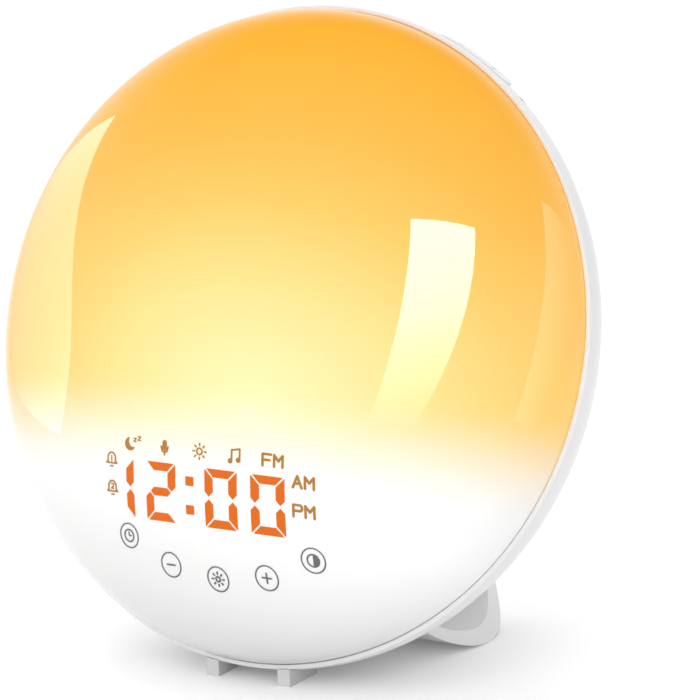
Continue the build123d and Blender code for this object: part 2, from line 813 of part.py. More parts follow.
# Where each bar of a digit stands: its side and its end, each -1, 0 or 1 from the middle
digit_side_x = (digit_width - digit_stroke_side) / 2
digit_flat_y = (digit_height - digit_stroke_flat) / 2
segment_sides = {
    "a": (0, 1), "g": (0, 0), "d": (0, -1), "b": (1, 1), "c": (1, -1), "f": (-1, 1), "e": (-1, -1),
}


def segment_place(name):
    """Middle of a digit's bar, from the middle of the digit."""
    side, end = segment_sides[name]
    rise = digit_flat_y if side == 0 else digit_flat_y / 2
    return side * digit_side_x, end * rise


def digit(symbol, x, y, growth=0.0):
    """Seven-segment digit centred at x, y of the disc."""
    for name in segments_of[symbol]:
        side, end = segment_sides[name]
        dx, dy = segment_place(name)
        if side == 0:
            bar(x + dx, y + dy, 2 * digit_side_x - 2 * digit_gap + growth, digit_stroke_flat + growth, end)
        else:
            length = digit_flat_y - 2 * digit_gap + growth
            post(x + dx, y + dy, length, digit_stroke_side + growth, side, end)


digit_places = (("1", -26.0), ("2", -12.4), ("0", 6.0), ("0", 19.3))
colon_x = -3.3
colon_rise = 3.6
sign_row = 11.4
moon_x, voice_x, sun_x, note_x, band_x = (-22.4, -11.1, -0.3, 10.2, 20.8)
bell_x, half_day_x = (-28.8, 29.0)
upper_row, lower_row = (6.9, -0.3)


colon_places = [(display_x + colon_x, display_y + rise) for rise in (-colon_rise, colon_rise)]


def clock_digits(growth=0.0):
    """The digits of the time, 12:00."""
    for symbol, x in digit_places:
        digit(symbol, display_x + x, display_y, growth)


def dome_plane(x, y):
    """Plane that touches the dome at a point of the disc, facing outwards."""
    rise = dome_depth * sqrt(1 - (x * x + y * y) / dome_radius**2)
    slope = disc.x_dir * (x / dome_radius**2) + disc.y_dir * (y / dome_radius**2)
    place = disc.from_local_coords(Vector(x, y, rise))
    return Plane(origin=place, x_dir=disc.x_dir, z_dir=slope + disc.z_dir * (rise / dome_depth**2))


def letter(symbol, x, y, width=2.3, height=2.9):
    """Letter made of straight strokes, centred at x, y."""
    left, right, low, high, middle = (x - width / 2, x + width / 2, y - height / 2, y + height / 2, y)
    cut = 0.4
    bar = y - cut
    rows = {
        "A": [[(left, low), (x, high), (right, low)], [(x - width / 4, bar), (x + width / 4, bar)]],
        "F": [[(left, low), (left, high), (right, high)], [(left, middle), (right - cut, middle)]],
        "M": [[(left, low), (left, high), (x, middle), (right, high), (right, low)]],
        "P": [
            [
                (left, low),
                (left, high),
                (right - cut, high),
                (right, high - cut),
                (right, middle + cut),
                (right - cut, middle),
                (left, middle),
            ]
        ],
    }
    for row in rows[symbol]:
        path_strokes(row, letter_line)


def bell(x, y, number):
    """Alarm bell in outline with its number."""
    flank = [(1.8, -1.1), (1.3, -0.6), (1.3, 0.6), (0.7, 1.4), (0, 1.6)]
    for hand in (-1, 1):
        path_strokes([(x + hand * across, y + up) for across, up in flank], 0.4)
    stroke((x - 1.8, y - 1.1), (x + 1.8, y - 1.1), 0.4)
    stroke((x - 0.4, y - 1.9), (x + 0.4, y - 1.9), 0.4)
    if number == 1:
        stroke((x, y - 0.5), (x, y + 0.8), 0.3)
    else:
        two = [(-0.4, 0.8), (0.4, 0.8), (0.4, 0.2), (-0.4, -0.4), (0.4, -0.4)]
        path_strokes([(x + across, y + up) for across, up in two], 0.3)


def sun_sign(x, y, radius, ray):
    """Small sun: a ring and eight rays."""
    with Locations((x, y)):
        Circle(radius)
        Circle(radius - 0.4, mode=Mode.SUBTRACT)
    for turn in range(8):
        angle = radians(45 * turn)
        near = radius + 0.5
        far = near + ray
        along = (cos(angle), sin(angle))
        stroke((x + near * along[0], y + near * along[1]), (x + far * along[0], y + far * along[1]), 0.4)


def display_signs():
    """Function signs above the time, bells at its left, AM and PM at its right."""
    top = display_y + sign_row
    sun_sign(display_x + sun_x, top, 1.0, 0.5)
    with Locations((display_x + voice_x, top + 0.5)):
        SlotOverall(2.6, 1.3, rotation=90)
    stroke((display_x + voice_x, top - 1.3), (display_x + voice_x, top - 1.9), 0.5)
    path_strokes(
        [
            (display_x + voice_x - 1.1, top + 0.1),
            (display_x + voice_x - 0.7, top - 1.1),
            (display_x + voice_x + 0.7, top - 1.1),
            (display_x + voice_x + 1.1, top + 0.1),
        ],
        0.45,
    )
    note = display_x + note_x
    tune = [(-1.0, -1.3), (-1.0, 1.4), (1.3, 1.8), (1.3, -0.9)]
    path_strokes([(note + across, top + up) for across, up in tune], 0.45)
    with Locations((note - 1.4, top - 1.4), (note + 0.9, top - 1.0)):
        Circle(0.65)
    letter("F", display_x + band_x - 1.7, top)
    letter("M", display_x + band_x + 1.5, top)
    for symbol, row in (("A", upper_row), ("P", lower_row)):
        letter(symbol, display_x + half_day_x - 1.6, display_y + row)
        letter("M", display_x + half_day_x + 1.6, display_y + row)
    bell(display_x + bell_x, display_y + upper_row, 1)
    bell(display_x + bell_x, display_y + lower_row, 2)


def moon_sign():
    """Crescent moon and two small z of the sleep sign."""
    with Locations((display_x + moon_x, display_y + sign_row - 0.2)):
        Circle(1.7)
    with Locations((display_x + moon_x + 1.0, display_y + sign_row + 0.5)):
        Circle(1.5, mode=Mode.SUBTRACT)
    for dx, dy, size in ((1.2, 0.5, 0.8), (2.6, 0.9, 0.9)):
        left = display_x + moon_x + dx
        low = display_y + sign_row + dy
        corners = [(left, low + size), (left + size, low + size), (left, low), (left + size, low)]
        path_strokes(corners, sleep_line)


def touch_signs():
    """Five ringed touch keys: clock, minus, lamp, plus and half disc."""
    places = [(display_x + x, display_y + y) for x, y in key_places]
    with Locations(places):
        Circle(key_radius)
        Circle(key_radius - key_line, mode=Mode.SUBTRACT)
    (cx, cy), (mx, my), (sx, sy), (px, py), (hx, hy) = places
    with Locations((cx, cy), (hx, hy)):
        Circle(1.7)
        Circle(1.35, mode=Mode.SUBTRACT)
    path_strokes([(cx, cy + 0.9), (cx, cy), (cx + 0.7, cy)], 0.3)
    stroke((mx - 1.2, my), (mx + 1.2, my), 0.4)
    sun_sign(sx, sy, 0.8, 0.45)
    stroke((px - 1.2, py), (px + 1.2, py), 0.4)
    stroke((px, py - 1.2), (px, py + 1.2), 0.4)
    with BuildLine(mode=Mode.PRIVATE) as half:
        CenterArc((hx, hy), 1.36, -90, 180)
        Line((hx, hy + 1.36), (hx, hy - 1.36))
    add(make_face(half.line, mode=Mode.PRIVATE))


# Lit and printed signs: prisms of each outline, cut down to a thin layer on the dome
with BuildPart() as display_digits:
    with BuildSketch(disc.offset(5)):
        clock_digits()
    extrude(amount=dome_depth)
    add(dome_solid(print_thickness), mode=Mode.INTERSECT)
    add(dome_solid(0), mode=Mode.SUBTRACT)
    for place in colon_places:
        with BuildSketch(dome_plane(*place)):
            Rectangle(digit_stroke_side, digit_stroke_side)
        extrude(amount=print_thickness)

with BuildPart() as display_icons:
    with BuildSketch(disc.offset(5)):
        moon_sign()
        display_signs()
    extrude(amount=dome_depth)
    add(dome_solid(print_thickness), mode=Mode.INTERSECT)
    add(dome_solid(0), mode=Mode.SUBTRACT)

with BuildPart() as touch_marks:
    with BuildSketch(disc.offset(5)):
        touch_signs()
    extrude(amount=dome_depth)
    add(dome_solid(print_thickness), mode=Mode.INTERSECT)
    add(dome_solid(0), mode=Mode.SUBTRACT)

# Tower on the tray that holds the display board close behind the dome
tower_height = display_board_seat + flange_back
display_centre = (display_x, display_board_y)
tower_screw_points = [
    (display_x + x, display_board_y + y)
    for x in (-display_board_width / 2 + 4.6, display_board_width / 2 - 4.6)
    for y in (-display_board_height / 2 + 4.0, display_board_height / 2 - 3.0)
]
with BuildPart() as display_tower:
    with BuildSketch(disc.offset(-flange_back)):
        with Locations(display_centre):
            Rectangle(display_board_width, display_board_height)
            Rectangle(
                display_board_width - 2 * tower_wall,
                display_board_height - 2 * tower_wall,
                mode=Mode.SUBTRACT,
            )
        with Locations(tower_screw_points):
            Circle(main_post_radius + 0.6)
    extrude(amount=tower_height)
    with BuildSketch(disc.offset(-flange_back - 1)):
        with Locations(tower_screw_points):
            Circle(screw_shank / 2 + screw_clearance)
    extrude(amount=tower_height + 2, mode=Mode.SUBTRACT)

with BuildPart() as display_board:
    with BuildSketch(disc.offset(display_board_seat)):
        with Locations(display_centre):
            RectangleRounded(display_board_width, display_board_height, 1.5)
        with Locations(tower_screw_points):
            Circle(screw_shank / 2 + screw_clearance, mode=Mode.SUBTRACT)
    extrude(amount=board_thickness)

display_board_screws = screw(
    disc_seats(tower_screw_points, -display_board_top), screw_shank, board_thickness + 6, screw_head,
    screw_head_height,
)

sign_windows = [(display_x + x, display_y + sign_row, 4.2) for x in (moon_x, voice_x, sun_x, note_x)]
sign_windows.append((display_x + band_x, display_y + sign_row, 6.6))
for row in (upper_row, lower_row):
    sign_windows.append((display_x + bell_x, display_y + row, 4.6))
    sign_windows.append((display_x + half_day_x, display_y + row, 5.2))

# Cell block: light-tight walls from the board to the inside of the dome, one cell to a sign
with BuildPart() as display_cells:
    with BuildSketch(disc.offset(display_board_top)):
        with Locations((display_x, cell_block_y)):
            Rectangle(cell_block_width, cell_block_height)
    extrude(amount=dome_depth)
    add(dome_solid(-dome_wall - cell_gap), mode=Mode.INTERSECT)
    with BuildSketch(disc.offset(display_board_top)):
        clock_digits(window_growth)
        with Locations(colon_places):
            Rectangle(digit_stroke_side + window_growth, digit_stroke_side + window_growth)
        for x, y, width in sign_windows:
            with Locations((x, y)):
                Rectangle(width, sign_window_height)
    extrude(amount=dome_depth, mode=Mode.SUBTRACT)

with BuildPart() as display_leds:
    with BuildSketch(disc.offset(display_board_top)):
        for symbol, x in digit_places:
            for name in segments_of[symbol]:
                dx, dy = segment_place(name)
                with Locations((display_x + x + dx, display_y + dy)):
                    Rectangle(led_size, led_size)
        with Locations(colon_places):
            Rectangle(led_size, led_size)
        for x, y, width in sign_windows:
            with Locations((x, y)):
                Rectangle(led_size, led_size)
    extrude(amount=led_height)

# Conductive columns that carry each touch key's signal from the board to the dome. They keep
# clear of the board's edges, so the outer ones stand a little inside their keys.
touch_column_low_y = display_board_y - 16
touch_column_places = [
    (display_x + x * 0.93, max(display_y + y, touch_column_low_y)) for x, y in key_places
]
with BuildPart() as touch_columns:
    with BuildSketch(disc.offset(display_board_top)):
        with Locations(*touch_column_places):
            Circle(touch_column_radius)
    extrude(amount=dome_depth)
    add(dome_solid(-dome_wall - cell_gap), mode=Mode.INTERSECT)

# ---------------------------------------------------------------------------- electronics
main_back_plane = disc.offset(-main_board_back)
with BuildPart() as main_board:
    with BuildSketch(disc.offset(-main_board_back)):
        with Locations((0, main_board_y)):
            RectangleRounded(main_board_width, main_board_height, 2)
        with Locations(main_post_points):
            Circle(screw_shank / 2 + screw_clearance, mode=Mode.SUBTRACT)
    extrude(amount=board_thickness)

main_board_screws = screw(
    disc_seats(main_post_points, main_board_back, facing=-1), screw_shank, board_thickness + 4, screw_head,
    screw_head_height,
)


def on_board(shapes, height):
    """Group of flat parts on the back of the main board: each is x, y, width, length."""
    with BuildPart() as group:
        with BuildSketch(main_back_plane):
            for x, y, width, length in shapes:
                with Locations((x, main_board_y + y)):
                    Rectangle(width, length)
        extrude(amount=-height)
    return group.part


main_board_chips = on_board([(4, 2, 10, 10), (17, 10, 6, 5), (-12, -12, 6, 5), (18, -8, 5, 5)], 1.4)
speaker_socket = (-24, -17, 9, 6)
light_socket = (-8, 15, 7.5, 6)
rocker_socket = (24, 15, 7.5, 6)
ribbon_socket = (display_x, -18, 14, 5)
microphone_socket = (27, 4, 6, 7.5)
socket_height = 5.5
board_sockets = on_board(
    [speaker_socket, light_socket, rocker_socket, ribbon_socket, microphone_socket], socket_height
)
radio_module = on_board([(27, -9, 11, 11)], 2.6)

capacitor_places = [(-7.5, 4, 3.1, 7.0), (-5.5, -5, 2.5, 6.0), (12, -7, 2.5, 6.0), (2, 12, 2.5, 5.0)]
with BuildPart() as main_board_capacitors:
    for x, y, radius, height in capacitor_places:
        with BuildSketch(main_back_plane):
            with Locations((x, main_board_y + y)):
                Circle(radius)
        extrude(amount=-height)

# Button cell for the clock's memory, in a clip on the board
cell_place = (-22.5, main_board_y + 4)
cell_radius = 10.0
cell_height = 3.2
with BuildPart() as coin_cell_holder:
    with BuildSketch(main_back_plane):
        with Locations(cell_place):
            Circle(cell_radius + 1.2)
            Circle(cell_radius + 0.1, mode=Mode.SUBTRACT)
    extrude(amount=-cell_height - 0.8)
    with BuildSketch(main_back_plane):
        with Locations(cell_place):
            Circle(cell_radius + 1.2)
    extrude(amount=-0.8)

with BuildPart() as coin_cell:
    with BuildSketch(main_back_plane.offset(-0.8)):
        with Locations(cell_place):
            Circle(cell_radius)
    extrude(amount=-cell_height)

# ---------------------------------------------------------------------------- speaker
with BuildPart() as speaker_mesh:
    with BuildSketch(disc.offset(-plateau_inner)):
        Circle(speaker_radius - 0.2)
    extrude(amount=mesh_thickness)

gasket_depth = plateau_inner - mesh_thickness
with BuildPart() as speaker_gasket:
    with BuildSketch(disc.offset(-gasket_depth)):
        Circle(speaker_radius)
        Circle(speaker_opening_radius, mode=Mode.SUBTRACT)
    extrude(amount=gasket_thickness)

speaker_face = gasket_depth - gasket_thickness
basket_rim = speaker_opening_radius
with BuildPart() as speaker_frame:
    with BuildSketch(section):
        with BuildLine():
            Polyline(
                (speaker_radius, -speaker_face),
                (speaker_radius, -speaker_face + speaker_flange),
                (basket_rim + 1.2, -speaker_face + speaker_flange),
                (speaker_basket_radius + 1.2, -speaker_face + speaker_basket_depth),
                (8.0, -speaker_face + speaker_basket_depth),
                (8.0, -speaker_face + speaker_basket_depth - 1),
                (speaker_basket_radius, -speaker_face + speaker_basket_depth - 1),
                (basket_rim, -speaker_face),
                close=True,
            )
        make_face()
    revolve(axis=disc_axis)

with BuildPart() as speaker_magnet:
    with BuildSketch(disc.offset(-speaker_face + speaker_basket_depth)):
        Circle(speaker_magnet_radius)
    extrude(amount=speaker_magnet_height)
    chamfer(speaker_magnet.edges().filter_by(GeomType.CIRCLE), 0.6)

cone_edge = -speaker_face + 0.2
with BuildPart() as speaker_surround:
    with BuildSketch(section):
        with BuildLine():
            Polyline(
                (17.75, cone_edge),
                (15.2, cone_edge),
                (15.2, cone_edge + 0.5),
                (16.4, cone_edge + 1.4),
                (17.4, cone_edge + 0.6),
                close=True,
            )
        make_face()
    revolve(axis=disc_axis)

with BuildPart() as speaker_cone:
    with BuildSketch(section):
        with BuildLine():
            Polyline(
                (15.2, cone_edge),
                (6.0, cone_edge + 4.6),
                (0, cone_edge + 3.4),
                (0, cone_edge + 4.0),
                (6.0, cone_edge + 5.2),
                (6.0, cone_edge + 6.4),
                (6.6, cone_edge + 6.4),
                (6.6, cone_edge + 5.0),
                (15.2, cone_edge + 0.5),
                close=True,
            )
        make_face()
    revolve(axis=disc_axis)

speaker_screws = screw(
    disc_seats(ring_points(speaker_screw_radius, 4, start=45), speaker_face - speaker_flange),
    screw_shank,
    3.0,
    speaker_screw_head,
    screw_head_height,
)

# ---------------------------------------------------------------------------- sockets
jack_floor = jack_seat_depth + shell_wall
with BuildPart() as dc_jack:
    with BuildSketch(disc.offset(-jack_floor - jack_flange)):
        with Locations((jack_x, jack_y)):
            Circle(jack_flange_radius)
    extrude(amount=jack_flange)
    with BuildSketch(disc.offset(-jack_floor)):
        with Locations((jack_x, jack_y)):
            Circle(jack_radius)
    extrude(amount=jack_length)
    with BuildSketch(disc.offset(-jack_floor - jack_flange)):
        with Locations((jack_x, jack_y)):
            Circle(jack_bore_radius)
            Circle(jack_pin_radius, mode=Mode.SUBTRACT)
    extrude(amount=9, mode=Mode.SUBTRACT)

with BuildPart() as dc_jack_nut:
    with BuildSketch(disc.offset(-jack_seat_depth)):
        with Locations((jack_x, jack_y)):
            RegularPolygon(jack_nut_radius, 6)
            Circle(jack_radius + seat_gap, mode=Mode.SUBTRACT)
    extrude(amount=jack_nut_height)

with BuildPart() as antenna_grommet:
    with BuildSketch(grommet_seat.offset(-1.2)):
        Circle(grommet_radius + grommet_lip)
    extrude(amount=1.1)
    with BuildSketch(grommet_seat.offset(-0.1)):
        Circle(grommet_radius)
    extrude(amount=shell_wall + 0.3)
    with BuildSketch(grommet_seat.offset(shell_wall + 0.2)):
        Circle(grommet_radius + grommet_lip)
    extrude(amount=0.9)
    with BuildSketch(grommet_seat.offset(-2)):
        Circle(grommet_bore_radius)
    extrude(amount=8, mode=Mode.SUBTRACT)


# ---------------------------------------------------------------------------- leads
def lead(*points):
    """Round lead through points of the disc, its corners as round as the runs beside them allow."""
    corners = [disc.from_local_coords(Vector(*point)) for point in points]
    bends = []
    for before, corner, after in zip(corners, corners[1:], corners[2:]):
        arriving = corner - before
        leaving = after - corner
        half_turn = radians(arriving.get_angle(leaving)) / 2
        bends.append(0.45 * min(arriving.length, leaving.length) / tan(half_turn))
    with BuildPart() as cable:
        with BuildLine() as route:
            FilletPolyline(*corners, radius=bends)
        with BuildSketch(Plane(origin=route.line @ 0, z_dir=route.line % 0)):
            Circle(lead_diameter / 2)
        sweep()
    return cable.part


def rim_point(angle, radius, depth):
    """Point of the disc given by its angle and radius."""
    return (radius * cos(radians(angle)), radius * sin(radians(angle)), -depth)


def socket_end(socket, dx, dy):
    """Place where a lead meets a socket's side; dx or dy says which side."""
    x, y, width, length = socket
    return (x + dx * width / 2, main_board_y + y + dy * length / 2, -lead_depth)


lead_depth = main_board_back + socket_height / 2
terminal_radius = (speaker_magnet_radius + speaker_basket_radius + 1.2) / 2
terminal_depth = speaker_face - speaker_basket_depth
speaker_end = socket_end(speaker_socket, 0, -1)
speaker_lead = lead(
    rim_point(240, terminal_radius, terminal_depth),
    rim_point(240, terminal_radius, terminal_depth - 8),
    rim_point(238, 21, lead_depth + 3),
    (speaker_end[0] - 2, -8, -lead_depth),
    (speaker_end[0], speaker_end[1] - 7, -lead_depth),
    speaker_end,
)
jack_end = jack_floor - jack_length
power_end = socket_end(speaker_socket, -1, 0)
jack_lead = lead(
    (jack_x, jack_y, -jack_end),
    (jack_x, jack_y, -jack_end + 7),
    (jack_x + 3, jack_y + 11, -lead_depth),
    (power_end[0] - 7, power_end[1], -lead_depth),
    power_end,
)
light_end = socket_end(light_socket, 0, 1)
led_lead = lead(
    (light_lead_x, light_lead_y, -flange_back),
    (light_lead_x, light_lead_y, -lead_depth),
    light_end,
)
rocker_end = socket_end(rocker_socket, 0, 1)
rocker_inner = rocker_board_face - rocker_board_thickness
rocker_lead = lead(
    rim_point(rocker_angle, rocker_inner, 6.5),
    rim_point(rocker_angle, rocker_inner - 8, 6.5),
    (rocker_end[0], rocker_end[1] + 7, -lead_depth),
    rocker_end,
)
microphone_end = socket_end(microphone_socket, 1, 0)
microphone_exit = tray_back + lead_clearance + lead_diameter / 2
microphone_lead = lead(
    rim_point(microphone_angle, boot_face - boot_length, microphone_exit),
    rim_point(microphone_angle, boot_face - boot_length - 7, microphone_exit),
    (46, 46, -lead_depth + 2),
    (microphone_end[0] + 9, microphone_end[1], -lead_depth),
    microphone_end,
)

ribbon_end = socket_end(ribbon_socket, 0, -1)
ribbon_edge = disc.from_local_coords(Vector(display_x - ribbon_width / 2, 0, 0))
with BuildPart() as display_ribbon:
    with BuildSketch(Plane(origin=ribbon_edge, x_dir=disc.y_dir, z_dir=disc.x_dir)):
        with BuildLine() as ribbon_path:
            FilletPolyline(
                (ribbon_slot_y, display_board_seat),
                (ribbon_slot_y, -lead_depth),
                (ribbon_end[1], -lead_depth),
                radius=ribbon_bend,
            )
        trace(ribbon_path.line, line_width=ribbon_thickness)
    extrude(amount=ribbon_width)

# ---------------------------------------------------------------------------- export
pieces = {
    "diffuser_dome": diffuser_dome.part,
    "trim_ring": trim_ring.part,
    "rear_shell": rear_shell.part,
    "stand_strap": stand_strap.part,
    "front_foot_left": front_foot_left.part,
    "front_foot_right": front_foot_right.part,
    "shell_screws": shell_screws,
    "stand_screws": stand_screws,
    "volume_rocker": volume_rocker.part,
    "rocker_pin": rocker_pin.part,
    "rocker_board": rocker_board.part,
    "rocker_switches": rocker_switches.part,
    "microphone": microphone.part,
    "microphone_boot": microphone_boot.part,
    "light_tray": light_tray.part,
    "tray_screws": tray_screws,
    "led_board": led_board.part,
    "led_chips": led_chips.part,
    "led_board_screws": led_board_screws,
    "display_digits": display_digits.part,
    "display_icons": display_icons.part,
    "touch_marks": touch_marks.part,
    "display_tower": display_tower.part,
    "display_board": display_board.part,
    "display_board_screws": display_board_screws,
    "display_cells": display_cells.part,
    "display_leds": display_leds.part,
    "touch_columns": touch_columns.part,
    "main_board": main_board.part,
    "main_board_screws": main_board_screws,
    "main_board_chips": main_board_chips,
    "board_sockets": board_sockets,
    "radio_module": radio_module,
    "main_board_capacitors": main_board_capacitors.part,
    "coin_cell_holder": coin_cell_holder.part,
    "coin_cell": coin_cell.part,
    "speaker_mesh": speaker_mesh.part,
    "speaker_gasket": speaker_gasket.part,
    "speaker_frame": speaker_frame.part,
    "speaker_magnet": speaker_magnet.part,
    "speaker_surround": speaker_surround.part,
    "speaker_cone": speaker_cone.part,
    "speaker_screws": speaker_screws,
    "dc_jack": dc_jack.part,
    "dc_jack_nut": dc_jack_nut.part,
    "antenna_grommet": antenna_grommet.part,
    "speaker_lead": speaker_lead,
    "jack_lead": jack_lead,
    "led_lead": led_lead,
    "rocker_lead": rocker_lead,
    "microphone_lead": microphone_lead,
    "display_ribbon": display_ribbon.part,
}
for name, piece in pieces.items():
    piece.label = name
    export_step(piece, f"parts/{name}.step")
    print(name, len(piece.solids()), round(piece.volume, 1))
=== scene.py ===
from math import cos, hypot, pi, radians, sin

import bmesh
import bpy
from mathutils import Euler, Matrix, Vector


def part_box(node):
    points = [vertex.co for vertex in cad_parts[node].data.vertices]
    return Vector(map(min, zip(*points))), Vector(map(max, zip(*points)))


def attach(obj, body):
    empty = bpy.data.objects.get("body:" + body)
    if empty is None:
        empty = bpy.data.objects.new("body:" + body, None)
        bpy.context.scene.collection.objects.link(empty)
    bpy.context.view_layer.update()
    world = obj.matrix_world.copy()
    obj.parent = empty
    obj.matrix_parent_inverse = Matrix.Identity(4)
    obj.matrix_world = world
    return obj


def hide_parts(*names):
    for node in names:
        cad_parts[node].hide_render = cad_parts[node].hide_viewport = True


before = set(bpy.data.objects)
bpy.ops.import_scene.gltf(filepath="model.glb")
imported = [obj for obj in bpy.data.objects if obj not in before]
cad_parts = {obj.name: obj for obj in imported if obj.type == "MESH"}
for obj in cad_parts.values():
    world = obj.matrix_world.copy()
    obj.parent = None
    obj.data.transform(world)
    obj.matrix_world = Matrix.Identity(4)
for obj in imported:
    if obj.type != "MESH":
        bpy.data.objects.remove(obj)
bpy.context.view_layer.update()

# ---------------------------------------------------------------- the leaning disc
# The clock is a disc that leans back on two feet and a strap. Everything round on it is turned
# about one axis, square to the rim, so its places are given on the disc: X right, Y up, Z out.
lean_back = radians(19.3)
disc_radius = 0.0875
foot_height = 0.0041
dome_radius = 0.0862
dome_depth = 0.0425

dome_low, dome_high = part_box("diffuser_dome")
disc_centre = Vector((
    (dome_low.x + dome_high.x) / 2,
    dome_low.y + hypot(dome_radius * sin(lean_back), dome_depth * cos(lean_back)),
    foot_height + disc_radius * cos(lean_back),
))
disc_turn = Euler((pi / 2 - lean_back, 0.0, 0.0))
disc_place = Matrix.Translation(disc_centre) @ disc_turn.to_matrix().to_4x4()

# ---------------------------------------------------------------- camera
# A long lens looks down a little at the clock from its right. The pixel is where the middle
# of the disc stands in the render.
view_azimuth = radians(32.5)
view_elevation = radians(13.77)
view_roll = radians(-2.457)
view_distance = 1.2
focal_length = 235.6
image_size = 700
disc_centre_pixel = (292.4, 334.7)

camera_data = bpy.data.cameras.new("camera")
camera_data.lens = focal_length
camera_data.shift_x = (image_size / 2 - disc_centre_pixel[0]) / image_size
camera_data.shift_y = (disc_centre_pixel[1] - image_size / 2) / image_size
camera_data.clip_end = 20.0
camera = bpy.data.objects.new("camera", camera_data)
bpy.context.collection.objects.link(camera)
sight = Vector((
    -sin(view_azimuth) * cos(view_elevation),
    cos(view_azimuth) * cos(view_elevation),
    -sin(view_elevation),
))
camera_turn = sight.to_track_quat("-Z", "Y").to_matrix().to_4x4() @ Matrix.Rotation(view_roll, 4, "Z")
camera.matrix_world = Matrix.Translation(disc_centre - sight * view_distance) @ camera_turn
bpy.context.scene.camera = camera
bpy.context.scene.view_settings.view_transform = "Standard"

# ---------------------------------------------------------------- studio room
# A white room, plain white to the camera. It gives a soft light, with less from the wall on the
# clock's right, and its ceiling is dim in the gloss of the clock.
room_light = 0.93
right_wall_light = 0.64
wall_begins = 0.15
wall_ends = 0.85
ceiling_reflection = 0.12
ceiling_begins = 0.20
ceiling_ends = 0.75


def calculate(nodes, links, operation, *values):
    """One step of arithmetic on outputs and numbers."""
    step = nodes.new("ShaderNodeMath")
    step.operation = operation
    for socket, value in zip(step.inputs, values):
        if isinstance(value, (int, float)):
            socket.default_value = value
        else:
            links.new(value, socket)
    return step.outputs[0]


def between(nodes, links, factor, low, high, start=0.0, end=1.0, soft=False):
    """Carries a factor from start and end over to low and high."""
    carried = nodes.new("ShaderNodeMapRange")
    if soft:
        carried.interpolation_type = "SMOOTHSTEP"
    carried.inputs["From Min"].default_value = start
    carried.inputs["From Max"].default_value = end
    carried.inputs["To Min"].default_value = low
    carried.inputs["To Max"].default_value = high
    links.new(factor, carried.inputs["Value"])
    return carried.outputs[0]


def seen_directly(nodes, links):
    """Two factors: 1 for rays from the camera or through clear parts, and 1 for mirrored rays."""
    paths = nodes.new("ShaderNodeLightPath")
    straight = paths.outputs["Is Camera Ray"]
    through = paths.outputs["Is Transmission Ray"]
    return calculate(nodes, links, "MAXIMUM", straight, through), paths.outputs["Is Glossy Ray"]


def white_glow(nodes, links, strength):
    """A white background; its strength is a number or another step's output."""
    glow = nodes.new("ShaderNodeBackground")
    glow.inputs["Color"].default_value = (1.0, 1.0, 1.0, 1.0)
    if isinstance(strength, float):
        glow.inputs["Strength"].default_value = strength
    else:
        links.new(strength, glow.inputs["Strength"])
    return glow.outputs[0]


def swapped(nodes, links, factor, first, second):
    """The first background where the factor is 0, and the second where it is 1."""
    swap = nodes.new("ShaderNodeMixShader")
    links.new(factor, swap.inputs["Fac"])
    links.new(first, swap.inputs[1])
    links.new(second, swap.inputs[2])
    return swap.outputs[0]


room = bpy.data.worlds.new("studio_room")
room.use_nodes = True
bpy.context.scene.world = room
nodes, links = room.node_tree.nodes, room.node_tree.links
nodes.clear()
direct, glossy = seen_directly(nodes, links)
looking = nodes.new("ShaderNodeSeparateXYZ")
links.new(nodes.new("ShaderNodeTexCoord").outputs["Generated"], looking.inputs[0])
lighting = between(
    nodes, links, looking.outputs["X"], room_light, right_wall_light, wall_begins, wall_ends, soft=True
)
mirrored = between(
    nodes, links, looking.outputs["Z"], 1.0, ceiling_reflection, ceiling_begins, ceiling_ends, soft=True
)
lighting_room = white_glow(nodes, links, lighting)
mirrored_room = white_glow(nodes, links, mirrored)
around_clock = swapped(nodes, links, glossy, lighting_room, mirrored_room)
backdrop = swapped(nodes, links, direct, around_clock, white_glow(nodes, links, 1.0))
links.new(backdrop, nodes.new("ShaderNodeOutputWorld").inputs["Surface"])

# ---------------------------------------------------------------- studio lamps
# Three wide soft lamps face the disc: one in front and above, a low one that fills the
# underside of the ring, and one behind on the left. None of them shows in the clock's gloss.
lamp_size = 1.2
lamp_distance = 1.8


def soft_lamp(name, power, azimuth, elevation):
    """Square lamp that faces the disc, from in front at azimuth 0 or from the right at 90."""
    lamp = bpy.data.lights.new(name, "AREA")
    lamp.size = lamp_size
    lamp.energy = power
    stand = bpy.data.objects.new(name, lamp)
    bpy.context.collection.objects.link(stand)
    around = radians(azimuth)
    above = radians(elevation)
    direction = Vector((sin(around) * cos(above), -cos(around) * cos(above), sin(above)))
    turn = direction.to_track_quat("Z", "Y").to_matrix().to_4x4()
    stand.matrix_world = Matrix.Translation(disc_centre + direction * lamp_distance) @ turn
    stand.visible_glossy = False


soft_lamp("key_lamp", power=6.0, azimuth=20, elevation=45)
soft_lamp("low_lamp", power=3.5, azimuth=-15, elevation=10)
soft_lamp("back_lamp", power=7.0, azimuth=-125, elevation=62)

# ---------------------------------------------------------------- floor
# A wide white sweep of paper. Its own faint glow, seen only by the camera and in reflections,
# brings it up to the white of the room and leaves the clock's soft shadow on it.
floor_size = 6.0
floor_shade = (0.93, 0.93, 0.93, 1.0)
floor_glow = 0.11

sweep = bmesh.new()
bmesh.ops.create_grid(sweep, x_segments=1, y_segments=1, size=floor_size)
sweep_data = bpy.data.meshes.new("floor")
sweep.to_mesh(sweep_data)
sweep.free()
floor = bpy.data.objects.new("floor", sweep_data)
bpy.context.collection.objects.link(floor)

